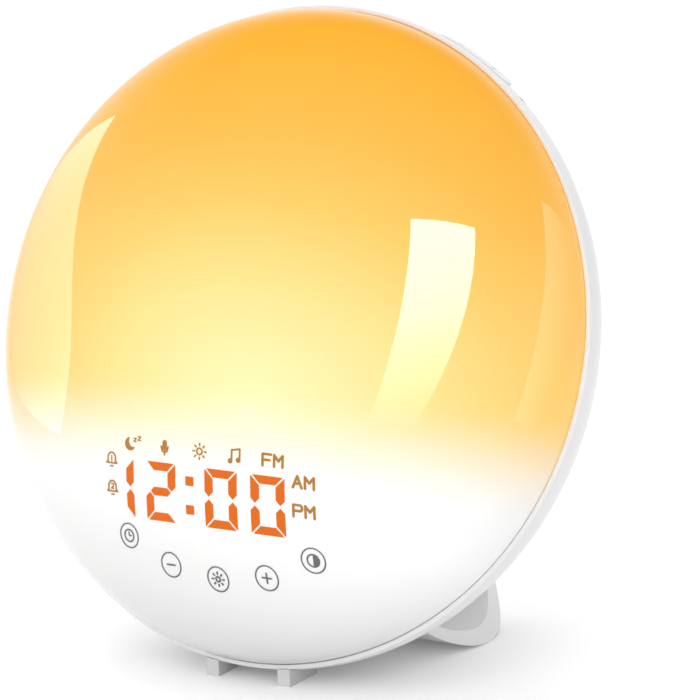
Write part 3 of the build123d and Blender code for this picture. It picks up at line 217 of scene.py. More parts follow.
paper = bpy.data.materials.new("floor_paper")
paper.use_nodes = True
nodes, links = paper.node_tree.nodes, paper.node_tree.links
nodes.clear()
matt = nodes.new("ShaderNodeBsdfDiffuse")
matt.inputs["Color"].default_value = floor_shade
direct, glossy = seen_directly(nodes, links)
shown = calculate(nodes, links, "MAXIMUM", direct, glossy)
lift = nodes.new("ShaderNodeEmission")
links.new(calculate(nodes, links, "MULTIPLY", shown, floor_glow), lift.inputs["Strength"])
both = nodes.new("ShaderNodeAddShader")
links.new(matt.outputs[0], both.inputs[0])
links.new(lift.outputs[0], both.inputs[1])
links.new(both.outputs[0], nodes.new("ShaderNodeOutputMaterial").inputs["Surface"])
sweep_data.materials.append(paper)

# ---------------------------------------------------------------- bright cards
# A tall window in front and a card on each side, which only the gloss of the clock mirrors.
# Each is a sheet between two bowed edges, given by their lowest, middle and highest points.
card_columns = 8
card_rows = 16


def bowed(edge, share):
    """The point of an edge at this share of the way up."""
    low, middle, high = (Vector(point) for point in edge)
    pull = middle * 2 - (low + high) / 2
    return low * (1 - share) ** 2 + pull * 2 * share * (1 - share) + high * share**2


def bright_card(name, near_edge, far_edge, direction, stops):
    """Sheet of light from edge to edge; stops give its strength along U, across, or V, up."""
    sheet = bmesh.new()
    sheet.loops.layers.uv.new("card")
    bmesh.ops.create_grid(sheet, x_segments=card_columns, y_segments=card_rows, size=0.5, calc_uvs=True)
    for corner in sheet.verts:
        across = corner.co.x + 0.5
        up = corner.co.y + 0.5
        corner.co = bowed(near_edge, up).lerp(bowed(far_edge, up), across)
    data = bpy.data.meshes.new(name)
    sheet.to_mesh(data)
    sheet.free()
    card = bpy.data.objects.new(name, data)
    bpy.context.collection.objects.link(card)
    card.visible_camera = False
    card.visible_diffuse = False
    card.visible_transmission = False
    card.visible_shadow = False
    light = bpy.data.materials.new(name)
    light.use_nodes = True
    nodes, links = light.node_tree.nodes, light.node_tree.links
    nodes.clear()
    unwrapped = nodes.new("ShaderNodeUVMap")
    unwrapped.uv_map = "card"
    split = nodes.new("ShaderNodeSeparateXYZ")
    links.new(unwrapped.outputs[0], split.inputs[0])
    curve = nodes.new("ShaderNodeFloatCurve")
    brightest = max(strength for place, strength in stops)
    points = curve.mapping.curves[0].points
    points[0].location = (stops[0][0], stops[0][1] / brightest)
    points[1].location = (stops[-1][0], stops[-1][1] / brightest)
    for place, strength in stops[1:-1]:
        points.new(place, strength / brightest)
    curve.mapping.update()
    links.new(split.outputs[direction], curve.inputs["Value"])
    glow = nodes.new("ShaderNodeEmission")
    links.new(calculate(nodes, links, "MULTIPLY", curve.outputs[0], brightest), glow.inputs["Strength"])
    links.new(glow.outputs[0], nodes.new("ShaderNodeOutputMaterial").inputs["Surface"])
    data.materials.append(light)


bright_card(
    "window",
    near_edge=[(0.198, -1.634, 0.222), (0.303, -1.330, 0.750), (0.290, -1.047, 1.279)],
    far_edge=[(0.582, -1.537, 0.150), (0.830, -1.130, 0.755), (0.898, -0.792, 1.360)],
    direction="Y",
    stops=[(0.0, 1.6), (0.2, 5.0), (0.37, 8.2), (0.57, 13.5), (0.87, 17.0), (1.0, 18.0)],
)
bright_card(
    "left_card",
    near_edge=[(-0.4, -0.100, -0.050), (-0.4, -0.172, 0.140), (-0.4, 0.100, 0.290)],
    far_edge=[(-0.4, 0.100, -0.040), (-0.4, 0.140, 0.050), (-0.4, 0.260, 0.110)],
    direction="X",
    stops=[(0.0, 3.9), (0.3, 2.9), (0.7, 1.7), (1.0, 1.1)],
)
bright_card(
    "right_card",
    near_edge=[(0.4, -0.157, 0.029), (0.4, -0.031, 0.208), (0.4, 0.223, 0.415)],
    far_edge=[(0.4, 0.009, -0.033), (0.4, 0.200, 0.075), (0.4, 0.500, 0.250)],
    direction="X",
    stops=[(0.0, 2.8), (0.3, 2.2), (0.7, 1.3), (1.0, 1.0)],
)

# ---------------------------------------------------------------- opal dome
# Deep half ellipsoid of opal plastic, moulded in one piece with a short skirt that drops into
# the ring. Its polished face is hard and clear; the body of the plastic spreads the lamps'
# light, deep orange at the rim and pale yellow low in the middle, and fades out to white. The
# lamps' orange is also painted into the plastic's colour, and painted shade darkens the white
# towards the lower left of the rim.
dome_wall = 0.0022
dome_skirt = 0.0014
dome_steps = 48
dome_turns = 160
merge_distance = 1e-6
glow_middle = (0.016, -0.024)
glow_reach = 0.104
glow_squeeze = 0.78
opal_share = 0.42
opal_glow = 0.60
opal_cloud = 0.035
opal_cloud_shift = 0.0015
opal_grain = 0.004
opal_gloss = (0.34, 0.42)
polish = 0.025
polish_index = 1.5
sunrise_stops = [
    (0.0, (1.0, 0.95, 0.50)),
    (0.33, (1.0, 0.77, 0.27)),
    (0.53, (1.0, 0.625, 0.145)),
    (0.72, (1.0, 0.525, 0.085)),
    (1.0, (1.0, 0.46, 0.030)),
]
opal_white = (0.97, 0.97, 0.97)
opal_shadow = (0.74, 0.74, 0.74)
shadow_low = -0.080
shadow_high = -0.038
shadow_slope = 0.25
fade_low = -0.045
fade_high = -0.015
fade_slope = 0.03


def finish(name, colour, roughness):
    """New finish with one shader, in one colour and gloss until the next steps vary them."""
    made = bpy.data.materials.new(name)
    made.use_nodes = True
    tree = made.node_tree
    shader = tree.nodes["Principled BSDF"]
    shader.inputs["Base Color"].default_value = (*colour, 1.0)
    shader.inputs["Roughness"].default_value = roughness
    return made, tree.nodes, tree.links, shader


def places_on(nodes, links, middle, turn):
    """Each point's place measured from a middle, in axes that are turned with the part."""
    place = nodes.new("ShaderNodeTexCoord")
    measured = nodes.new("ShaderNodeMapping")
    measured.vector_type = "TEXTURE"
    measured.inputs["Location"].default_value = middle
    measured.inputs["Rotation"].default_value = turn
    links.new(place.outputs["Object"], measured.inputs["Vector"])
    return measured.outputs[0]


def split_places(nodes, links, place):
    """The three parts of a place."""
    split = nodes.new("ShaderNodeSeparateXYZ")
    links.new(place, split.inputs[0])
    return split.outputs


def length_of(nodes, links, across, up):
    """How far a place with these two parts lies from the middle."""
    across_squared = calculate(nodes, links, "MULTIPLY", across, across)
    up_squared = calculate(nodes, links, "MULTIPLY", up, up)
    return calculate(nodes, links, "SQRT", calculate(nodes, links, "ADD", across_squared, up_squared))


def speckle(nodes, links, size, detail=2.0, place=None):
    """Soft random cloud from 0 to 1, with lumps of this size in metres."""
    cloud = nodes.new("ShaderNodeTexNoise")
    cloud.inputs["Scale"].default_value = 1 / size
    cloud.inputs["Detail"].default_value = detail
    if place is None:
        place = nodes.new("ShaderNodeTexCoord").outputs["Object"]
    links.new(place, cloud.inputs["Vector"])
    return cloud.outputs["Fac"]


def blended(nodes, links, factor, first, second, way="MIX"):
    """Colour from first to second by a factor; each is a colour or another step's output."""
    blend = nodes.new("ShaderNodeMix")
    blend.data_type = "RGBA"
    blend.blend_type = way
    if isinstance(factor, (int, float)):
        blend.inputs["Factor"].default_value = factor
    else:
        links.new(factor, blend.inputs["Factor"])
    for socket, colour in ((blend.inputs["A"], first), (blend.inputs["B"], second)):
        if isinstance(colour, tuple):
            socket.default_value = (*colour[:3], 1.0)
        else:
            links.new(colour, socket)
    return blend.outputs["Result"]


def raised(nodes, links, shader, height, depth, under=None):
    """Relief in the surface: height from 0 to 1 stands for depth in metres."""
    relief = nodes.new("ShaderNodeBump")
    relief.inputs["Distance"].default_value = depth
    links.new(height, relief.inputs["Height"])
    if under is not None:
        links.new(under, relief.inputs["Normal"])
    links.new(relief.outputs[0], shader.inputs["Normal"])
    return relief.outputs[0]


opal_plastic, nodes, links, shader = finish("opal_plastic", opal_white, opal_gloss[0])
shader.inputs["Specular IOR Level"].default_value = 0.0
shader.inputs["Coat Weight"].default_value = 1.0
shader.inputs["Coat Roughness"].default_value = polish
shader.inputs["Coat IOR"].default_value = polish_index
shader.inputs["Emission Strength"].default_value = opal_glow
x, y, _ = split_places(nodes, links, places_on(nodes, links, disc_centre, disc_turn))
from_glow_x = calculate(nodes, links, "SUBTRACT", x, glow_middle[0])
squeezed_x = calculate(nodes, links, "MULTIPLY", from_glow_x, glow_squeeze)
from_glow_y = calculate(nodes, links, "SUBTRACT", y, glow_middle[1])
distance = length_of(nodes, links, squeezed_x, from_glow_y)
uneven = between(nodes, links, speckle(nodes, links, opal_cloud), -opal_cloud_shift, opal_cloud_shift)
spread = calculate(nodes, links, "DIVIDE", calculate(nodes, links, "ADD", distance, uneven), glow_reach)
sunrise = nodes.new("ShaderNodeValToRGB")
links.new(spread, sunrise.inputs["Fac"])
for place, colour in sunrise_stops[1:-1]:
    sunrise.color_ramp.elements.new(place)
for stop, (place, colour) in zip(sunrise.color_ramp.elements, sunrise_stops):
    stop.position = place
    stop.color = (*colour, 1.0)
level = calculate(nodes, links, "SUBTRACT", y, calculate(nodes, links, "MULTIPLY", x, fade_slope))
lit_share = between(nodes, links, level, 0.0, 1.0, fade_low, fade_high, soft=True)
shares = (opal_share, opal_share, opal_share)
# Painted light: where the lamps light the dome, its base colour is their orange at a share.
lamp_orange_painted_base = blended(nodes, links, 1.0, sunrise.outputs["Color"], shares, "MULTIPLY")
# Painted shade: below the glow the white darkens to opal_shadow towards the lower left of the rim.
unlit_level = calculate(nodes, links, "ADD", y, calculate(nodes, links, "MULTIPLY", x, shadow_slope))
out_of_shadow = between(nodes, links, unlit_level, 0.0, 1.0, shadow_low, shadow_high)
unlit = blended(nodes, links, out_of_shadow, opal_shadow, opal_white)
glowing = blended(nodes, links, lit_share, (0.0, 0.0, 0.0), sunrise.outputs["Color"])
links.new(blended(nodes, links, lit_share, unlit, lamp_orange_painted_base), shader.inputs["Base Color"])
links.new(glowing, shader.inputs["Emission Color"])
links.new(between(nodes, links, speckle(nodes, links, opal_grain), *opal_gloss), shader.inputs["Roughness"])


def crown_to_rim(radius, depth):
    """Points along a quarter of an ellipse, from the axis out to the rim."""
    turns = [pi / 2 * step / dome_steps for step in range(dome_steps + 1)]
    return [(radius * sin(turn), depth * cos(turn)) for turn in turns]


# Section through the wall, out along the inside and back over the outside, spun about the axis
inside = crown_to_rim(dome_radius - dome_wall, dome_depth - dome_wall)
skirt = [(dome_radius - dome_wall, -dome_skirt), (dome_radius, -dome_skirt)]
outside = crown_to_rim(dome_radius, dome_depth)
section = inside + skirt + outside[::-1]

shell = bmesh.new()
corners = [shell.verts.new((radius, 0.0, rise)) for radius, rise in section]
edges = [shell.edges.new(pair) for pair in zip(corners, corners[1:])]
bmesh.ops.spin(
    shell, geom=corners + edges, cent=(0, 0, 0), axis=(0, 0, 1),
    angle=2 * pi, steps=dome_turns, use_merge=True,
)
bmesh.ops.remove_doubles(shell, verts=shell.verts, dist=merge_distance)
bmesh.ops.recalc_face_normals(shell, faces=shell.faces)
bmesh.ops.transform(shell, matrix=disc_place, verts=shell.verts)
dome_data = bpy.data.meshes.new("opal_dome")
shell.to_mesh(dome_data)
shell.free()
dome_data.polygons.foreach_set("use_smooth", [True] * len(dome_data.polygons))
dome_data.materials.append(opal_plastic)
opal_dome = bpy.data.objects.new("opal_dome", dome_data)
bpy.context.collection.objects.link(opal_dome)
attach(opal_dome, "clock")
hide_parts("diffuser_dome")

# ---------------------------------------------------------------- lit time and signs
# The time, the dots between its hours and minutes and the small signs round it are light from
# orange lamps that comes through the dome. The time is the brightest; the signs are dimmer.
digit_orange = (0.82, 0.165, 0.003)
digit_ember = (0.76, 0.140, 0.002)
sign_orange = (0.48, 0.220, 0.042)
sign_ember = (0.41, 0.180, 0.034)
light_grain = 0.0012
light_gloss = 0.45
light_shine = 0.2


def wear(name, made):
    """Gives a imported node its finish."""
    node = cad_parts[name]
    node.data.materials.clear()
    node.data.materials.append(made)


def lit_print(name, bright, dim, base_share, glow):
    """Light that shines through the dome: a soft grain between a bright and a dimmer shade."""
    made, nodes, links, shader = finish(name, bright, light_gloss)
    shader.inputs["Specular IOR Level"].default_value = light_shine
    shade = blended(nodes, links, speckle(nodes, links, light_grain), dim, bright)
    kept = blended(nodes, links, 1.0, shade, (base_share, base_share, base_share), "MULTIPLY")
    links.new(kept, shader.inputs["Base Color"])
    links.new(shade, shader.inputs["Emission Color"])
    shader.inputs["Emission Strength"].default_value = glow
    return made


wear("display_digits", lit_print("lit_digit", digit_orange, digit_ember, base_share=0.45, glow=0.5))
wear("display_icons", lit_print("lit_sign", sign_orange, sign_ember, base_share=0.5, glow=0.5))

# ---------------------------------------------------------------- printed keys
# Five touch keys: a thin ring with a sign in it, screened on the dome in grey ink. The film of
# ink is matt and a little uneven.
ink_dark = (0.085, 0.085, 0.088)
ink_pale = (0.150, 0.150, 0.153)
ink_grain = 0.0005
ink_depth = 2e-6
ink_gloss = (0.45, 0.65)

key_ink, nodes, links, shader = finish("key_ink", ink_dark, ink_gloss[0])
grain = speckle(nodes, links, ink_grain)
links.new(blended(nodes, links, grain, ink_dark, ink_pale), shader.inputs["Base Color"])
links.new(between(nodes, links, grain, *ink_gloss), shader.inputs["Roughness"])
raised(nodes, links, shader, grain, ink_depth)
wear("touch_marks", key_ink)

# ---------------------------------------------------------------- white case
# Ring, domed back and strap are moulded in white plastic with a polished, slightly wavy skin.
# The tool's small radius rounds every edge. The back is a shade darker than the ring, and the
# strap is the ring's white painted lighter, to make up for the shade in and under its loop.
wave_size = 0.0025
wave_depth = 1.2e-6
edge_softness = 0.0002
edge_samples = 6
shade_cloud = 0.03
gloss_wander = 0.12
skin_coat = 0.3
skin_gloss = 0.12


def moulded(name, pale, dark, gloss, grain_size, grain_depth, edge=0.0, coat=0.0):
    """Plastic, rubber, foam or paper: two close shades, uneven gloss, fine grain, soft edges."""
    made, nodes, links, shader = finish(name, pale, gloss)
    cloud = speckle(nodes, links, shade_cloud, detail=3.0)
    grain = speckle(nodes, links, grain_size)
    links.new(blended(nodes, links, cloud, dark, pale), shader.inputs["Base Color"])
    wander = between(nodes, links, grain, gloss * (1 - gloss_wander), gloss * (1 + gloss_wander))
    links.new(wander, shader.inputs["Roughness"])
    rounded = None
    if edge:
        softened = nodes.new("ShaderNodeBevel")
        softened.samples = edge_samples
        softened.inputs["Radius"].default_value = edge
        rounded = softened.outputs[0]
    raised(nodes, links, shader, grain, grain_depth, rounded)
    shader.inputs["Coat Weight"].default_value = coat
    shader.inputs["Coat Roughness"].default_value = skin_gloss
    return made, nodes, links, shader


def polished(name, pale, dark, gloss):
    """The case's plastic: moulded, with a wavy skin under a thin hard gloss."""
    return moulded(name, pale, dark, gloss, wave_size, wave_depth, edge_softness, skin_coat)


case_white = polished("case_white", (0.83, 0.83, 0.835), (0.81, 0.81, 0.815), 0.34)[0]
back_white = polished("back_white", (0.80, 0.80, 0.805), (0.78, 0.78, 0.785), 0.38)[0]
# Painted light: the strap's white is lighter than the ring's, to make up for the shade in its loop.
strap_white_painted_lighter = polished("strap_white_painted_lighter", (0.90, 0.90, 0.905), (0.88, 0.88, 0.885), 0.36)[0]
wear("trim_ring", case_white)
wear("rear_shell", back_white)
wear("stand_strap", strap_white_painted_lighter)

# ---------------------------------------------------------------- rocker key
# Long oval rocker of the case's own plastic, which tilts on a pin to turn the sound up and
# down. The floors of the two signs sunk in its crown are coloured grey.
rocker_angle = radians(62.0)
rocker_depth = 0.0053
rocker_proud = 0.00015
sign_depth = 0.0003
sign_reach = 0.0014
sign_ends = 0.0110
sign_grey = (0.30, 0.30, 0.305)

rocker_white, nodes, links, shader = polished(
    "rocker_white", (0.83, 0.83, 0.835), (0.81, 0.81, 0.815), 0.32
)
x, y, z = split_places(nodes, links, places_on(nodes, links, disc_centre, disc_turn))
outwards = length_of(nodes, links, x, y)
along = calculate(
    nodes, links, "SUBTRACT",
    calculate(nodes, links, "MULTIPLY", y, cos(rocker_angle)),
    calculate(nodes, links, "MULTIPLY", x, sin(rocker_angle)),
)
half_sunk = disc_radius + rocker_proud - sign_depth / 2
sunk = calculate(nodes, links, "LESS_THAN", outwards, half_sunk)
from_line = calculate(nodes, links, "ABSOLUTE", calculate(nodes, links, "ADD", z, rocker_depth))
near_line = calculate(nodes, links, "LESS_THAN", from_line, sign_reach)
inside_ends = calculate(nodes, links, "LESS_THAN", calculate(nodes, links, "ABSOLUTE", along), sign_ends)
in_reach = calculate(nodes, links, "MULTIPLY", near_line, inside_ends)
# The floors of the sunk signs are coloured grey.
grey_sign_floors = calculate(nodes, links, "MULTIPLY", sunk, in_reach)
plain = shader.inputs["Base Color"].links[0].from_socket
links.new(blended(nodes, links, grey_sign_floors, plain, sign_grey), shader.inputs["Base Color"])
wear("volume_rocker", rocker_white)

# ---------------------------------------------------------------- feet
# Two narrow wedges of soft grey rubber pushed into the underside of the ring. Handling leaves
# them matt, with a faint bloom of dust in the grain.
foot_edge = 0.0003

foot_rubber = moulded(
    "foot_rubber", (0.70, 0.70, 0.705), (0.64, 0.64, 0.645),
    gloss=0.68, grain_size=0.0005, grain_depth=1.2e-5, edge=foot_edge,
)[0]
wear("front_foot_left", foot_rubber)
wear("front_foot_right", foot_rubber)

# ---------------------------------------------------------------- light tray and display box
# Reflector tray, the box that keeps the display's light apart, and the cells round each lamp
# are moulded in chalky white plastic, matt inside so that they spread the light.
tray_white = moulded(
    "tray_white", (0.84, 0.84, 0.82), (0.80, 0.80, 0.78),
    gloss=0.62, grain_size=0.0006, grain_depth=9e-6, edge=edge_softness,
)[0]
cell_white = moulded(
    "cell_white", (0.80, 0.80, 0.78), (0.74, 0.74, 0.72),
    gloss=0.70, grain_size=0.0004, grain_depth=7e-6,
)[0]
wear("light_tray", tray_white)
wear("display_tower", tray_white)
wear("display_cells", cell_white)

# ---------------------------------------------------------------- circuit boards
# Glass fibre boards under green solder mask. Copper tracks show through the mask as paler
# raised lines with tinned pads between them, and the weave shows faintly under both.
mask_green = (0.012, 0.105, 0.040)
track_green = (0.030, 0.205, 0.075)
weave_green = (0.009, 0.080, 0.030)
pad_tin = (0.62, 0.61, 0.58)
track_pitch = 0.0018
track_length = 0.0075
track_width = 0.00028
pad_pitch = 0.0030
pad_radius = 0.16
weave_pitch = 0.0006
track_height = 3.5e-5
track_shift = 0.37
track_shift_rows = 3
track_cut = 0.6
track_cut_rows = 4
track_blur = 0.25
pad_scatter = 0.55
pad_metal = 0.9
mask_gloss = 0.30
pad_gloss = 0.24


def board(name, turn):
    """Solder mask over tracks and pads, laid out flat in the board's own plane."""
    made, nodes, links, shader = finish(name, mask_green, mask_gloss)
    flat = places_on(nodes, links, disc_centre, turn)
    tracks = nodes.new("ShaderNodeTexBrick")
    tracks.offset = track_shift
    tracks.offset_frequency = track_shift_rows
    tracks.squash = track_cut
    tracks.squash_frequency = track_cut_rows
    tracks.inputs["Scale"].default_value = 1.0
    tracks.inputs["Brick Width"].default_value = track_length
    tracks.inputs["Row Height"].default_value = track_pitch
    tracks.inputs["Mortar Size"].default_value = track_width / 2
    tracks.inputs["Mortar Smooth"].default_value = track_blur
    links.new(flat, tracks.inputs["Vector"])
    pads = nodes.new("ShaderNodeTexVoronoi")
    pads.inputs["Scale"].default_value = 1 / pad_pitch
    pads.inputs["Randomness"].default_value = pad_scatter
    links.new(flat, pads.inputs["Vector"])
    pad = calculate(nodes, links, "LESS_THAN", pads.outputs["Distance"], pad_radius)
    weave = nodes.new("ShaderNodeTexChecker")
    weave.inputs["Scale"].default_value = 1 / weave_pitch
    links.new(flat, weave.inputs["Vector"])
    masked = blended(nodes, links, weave.outputs["Fac"], weave_green, mask_green)
    tracked = blended(nodes, links, tracks.outputs["Fac"], masked, track_green)
    links.new(blended(nodes, links, pad, tracked, pad_tin), shader.inputs["Base Color"])
    links.new(calculate(nodes, links, "MULTIPLY", pad, pad_metal), shader.inputs["Metallic"])
    links.new(between(nodes, links, pad, mask_gloss, pad_gloss), shader.inputs["Roughness"])
    height = calculate(nodes, links, "MAXIMUM", tracks.outputs["Fac"], pad)
    raised(nodes, links, shader, height, track_height)
    return made


disc_board = board("disc_board", disc_turn)
for name in ("led_board", "display_board", "main_board"):
    wear(name, disc_board)
to_rocker = Matrix.Rotation(rocker_angle, 3, "Z")
on_edge = Matrix.Rotation(pi / 2, 3, "Y")
rim_turn = (disc_turn.to_matrix() @ to_rocker @ on_edge).to_euler()
wear("rocker_board", board("rim_board", rim_turn))

# ---------------------------------------------------------------- lamps
# Chip lamps: a white ceramic cup filled under clear resin, with yellow phosphor in those that
# light the dome and orange in the display's. Only the face towards the dome shows the filling.
phosphor_grain = 0.00022
phosphor_depth = 8e-6
cup_gloss = 0.5
resin_gloss = 0.16
lamp_glow = 0.4
square_on = 0.9


def faces_towards(nodes, links, direction, least):
    """1 where the surface looks within a cone round a direction, or 0 elsewhere."""
    facing = nodes.new("ShaderNodeVectorMath")
    facing.operation = "DOT_PRODUCT"
    facing.inputs[1].default_value = direction
    links.new(nodes.new("ShaderNodeNewGeometry").outputs["Normal"], facing.inputs[0])
    return calculate(nodes, links, "GREATER_THAN", facing.outputs["Value"], least)


forwards = disc_turn.to_matrix() @ Vector((0, 0, 1))


def chip_lamp(name, cup, filling, filling_dark):
    """Ceramic cup with a filled face towards the dome."""
    made, nodes, links, shader = finish(name, cup, cup_gloss)
    face = faces_towards(nodes, links, forwards, square_on)
    grain = speckle(nodes, links, phosphor_grain, detail=3.0)
    resin = blended(nodes, links, grain, filling_dark, filling)
    shade = blended(nodes, links, face, cup, resin)
    links.new(shade, shader.inputs["Base Color"])
    links.new(shade, shader.inputs["Emission Color"])
    links.new(calculate(nodes, links, "MULTIPLY", face, lamp_glow), shader.inputs["Emission Strength"])
    links.new(between(nodes, links, face, cup_gloss, resin_gloss), shader.inputs["Roughness"])
    raised(nodes, links, shader, grain, phosphor_depth)
    return made


white_lamp = chip_lamp("white_lamp", (0.82, 0.82, 0.80), (0.95, 0.72, 0.16), (0.84, 0.58, 0.10))
orange_lamp = chip_lamp("orange_lamp", (0.80, 0.80, 0.78), (0.90, 0.36, 0.06), (0.78, 0.26, 0.04))
wear("led_chips", white_lamp)
wear("display_leds", orange_lamp)

# ---------------------------------------------------------------- chips, capacitors, switches
# Black moulded epoxy with a fine matt grain; the capacitors are aluminium cans in black
# sleeves with a pale stripe, and the switches are black plastic under a steel cover.
epoxy_grain = 0.00025
small_edge = 0.0001
stripe_cone = 0.86
stripe_grey = (0.55, 0.56, 0.58)
lid_aluminium = (0.78, 0.78, 0.79)
cover_steel = (0.66, 0.66, 0.67)
cover_metal = 0.9

chip_epoxy = moulded(
    "chip_epoxy", (0.024, 0.024, 0.026), (0.015, 0.015, 0.017),
    gloss=0.5, grain_size=epoxy_grain, grain_depth=9e-6, edge=small_edge,
)[0]
wear("main_board_chips", chip_epoxy)

backwards = disc_turn.to_matrix() @ Vector((0, 0, -1))
sideways = disc_turn.to_matrix() @ Vector((1, 0, 0))

sleeved_can, nodes, links, shader = moulded(
    "sleeved_can", (0.030, 0.032, 0.040), (0.020, 0.021, 0.028),
    gloss=0.3, grain_size=0.0008, grain_depth=4e-6,
)
lid = faces_towards(nodes, links, backwards, square_on)
stripe = faces_towards(nodes, links, sideways, stripe_cone)
sleeve = shader.inputs["Base Color"].links[0].from_socket
striped = blended(nodes, links, stripe, sleeve, stripe_grey)
links.new(blended(nodes, links, lid, striped, lid_aluminium), shader.inputs["Base Color"])
links.new(lid, shader.inputs["Metallic"])
wear("main_board_capacitors", sleeved_can)

rim_outwards = disc_turn.to_matrix() @ Vector((cos(rocker_angle), sin(rocker_angle), 0))
switch_body, nodes, links, shader = moulded(
    "switch_body", (0.030, 0.030, 0.031), (0.020, 0.020, 0.021),
    gloss=0.42, grain_size=0.0004, grain_depth=5e-6, edge=small_edge,
)
cover = faces_towards(nodes, links, rim_outwards, square_on)
uncovered = shader.inputs["Base Color"].links[0].from_socket
links.new(blended(nodes, links, cover, uncovered, cover_steel), shader.inputs["Base Color"])
links.new(calculate(nodes, links, "MULTIPLY", cover, cover_metal), shader.inputs["Metallic"])
wear("rocker_switches", switch_body)

# ---------------------------------------------------------------- sockets and power socket
# The leads' sockets are natural nylon, creamy and a little waxy. The power socket is polished
# black plastic, and the flexible grommet beside it is soft black rubber.
socket_nylon = moulded(
    "socket_nylon", (0.79, 0.76, 0.66), (0.74, 0.71, 0.60),
    gloss=0.42, grain_size=0.0005, grain_depth=4e-6, edge=small_edge,
)[0]
wear("board_sockets", socket_nylon)
jack_black = moulded(
    "jack_black", (0.022, 0.022, 0.023), (0.016, 0.016, 0.017),
    gloss=0.22, grain_size=0.0009, grain_depth=3e-6, edge=small_edge, coat=0.4,
)[0]
wear("dc_jack", jack_black)
grommet_rubber = moulded(
    "grommet_rubber", (0.040, 0.040, 0.041), (0.028, 0.028, 0.029),
    gloss=0.62, grain_size=0.0004, grain_depth=1e-5, edge=small_edge,
)[0]
wear("antenna_grommet", grommet_rubber)

# ---------------------------------------------------------------- plated metal
# Nut, battery, battery clip, radio can and microphone can are nickel plated or tinned; the
# screws and the pin are zinc plated steel. Rolling and turning leave fine lines in all of them.
line_length = 0.004
line_pitch = 0.00012
smudge_size = 0.006
smudged_gloss = 0.75
dulled_gloss = 1.3


def plated(name, pale, dark, gloss, line_depth):
    """Plated metal with fine lines across the disc, and smudges in its colour and gloss."""
    made, nodes, links, shader = finish(name, pale, gloss)
    shader.inputs["Metallic"].default_value = 1.0
    flat = places_on(nodes, links, disc_centre, disc_turn)
    drawn = nodes.new("ShaderNodeMapping")
    drawn.vector_type = "POINT"
    drawn.inputs["Scale"].default_value = (line_pitch / line_length, 1.0, 1.0)
    links.new(flat, drawn.inputs["Vector"])
    lines = speckle(nodes, links, line_pitch, detail=3.0, place=drawn.outputs[0])
    smudge = speckle(nodes, links, smudge_size, detail=3.0)
    links.new(blended(nodes, links, smudge, dark, pale), shader.inputs["Base Color"])
    uneven = between(nodes, links, smudge, gloss * smudged_gloss, gloss * dulled_gloss)
    links.new(uneven, shader.inputs["Roughness"])
    raised(nodes, links, shader, lines, line_depth)
    return made


nickel = plated(
    "nickel_plate", (0.70, 0.685, 0.65), (0.60, 0.585, 0.55), gloss=0.24, line_depth=3e-6
)
tin = plated("tin_plate", (0.74, 0.74, 0.73), (0.63, 0.63, 0.62), gloss=0.32, line_depth=4e-6)
zinc = plated("zinc_plate", (0.68, 0.685, 0.70), (0.56, 0.565, 0.58), gloss=0.30, line_depth=4e-6)
for name in ("coin_cell", "coin_cell_holder", "dc_jack_nut", "microphone"):
    wear(name, nickel)
wear("radio_module", tin)
for name in (
    "shell_screws", "stand_screws", "tray_screws", "led_board_screws", "display_board_screws",
    "main_board_screws", "speaker_screws", "rocker_pin",
):
    wear(name, zinc)

# ---------------------------------------------------------------- loudspeaker
# Black painted steel basket, ferrite magnet, paper cone on a foam ring, and a gasket against the
# back. A disc of punched sheet, painted the case's white, covers the cone from outside. Its
# holes are painted on, dark for the dark cone and the shade seen through them.
speaker_low, speaker_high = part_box("speaker_cone")
speaker_middle = (speaker_low + speaker_high) / 2
pulp_size = 0.0011
cone_ring_pitch = 0.0016
cone_ring_height = 4e-5
punch_pitch = 0.0016
punch_radius = 0.36
punch_edge = 0.05
punch_depth = 4e-4
sheet_white = (0.70, 0.70, 0.705)
sheet_gloss = 0.40
hole_painted_dark = (0.02, 0.02, 0.02)
hole_gloss = 0.9

basket = moulded(
    "basket_black", (0.030, 0.030, 0.032), (0.020, 0.020, 0.022),
    gloss=0.44, grain_size=0.0006, grain_depth=8e-6, edge=small_edge,
)[0]
wear("speaker_frame", basket)
ferrite = moulded(
    "ferrite", (0.110, 0.110, 0.115), (0.070, 0.070, 0.074),
    gloss=0.58, grain_size=0.0003, grain_depth=1.4e-5, edge=small_edge,
)[0]
wear("speaker_magnet", ferrite)

cone_paper, nodes, links, shader = moulded(
    "cone_paper", (0.060, 0.058, 0.055), (0.036, 0.035, 0.033),
    gloss=0.80, grain_size=pulp_size, grain_depth=2e-5,
)
x, y, _ = split_places(nodes, links, places_on(nodes, links, speaker_middle, disc_turn))
from_middle = length_of(nodes, links, x, y)
ring_phase = calculate(nodes, links, "MULTIPLY", from_middle, 2 * pi / cone_ring_pitch)
ring_wave = calculate(nodes, links, "SINE", ring_phase)
rings = between(nodes, links, ring_wave, 0.0, 1.0, start=-1.0, end=1.0)
pulp = speckle(nodes, links, pulp_size, detail=4.0)
raised(nodes, links, shader, calculate(nodes, links, "ADD", rings, pulp), cone_ring_height)
wear("speaker_cone", cone_paper)

foam_ring = moulded(
    "foam_ring", (0.050, 0.050, 0.052), (0.030, 0.030, 0.032),
    gloss=0.85, grain_size=0.0004, grain_depth=3e-5,
)[0]
wear("speaker_surround", foam_ring)
gasket_foam = moulded(
    "gasket_foam", (0.090, 0.090, 0.093), (0.060, 0.060, 0.062),
    gloss=0.88, grain_size=0.0003, grain_depth=3e-5,
)[0]
wear("speaker_gasket", gasket_foam)

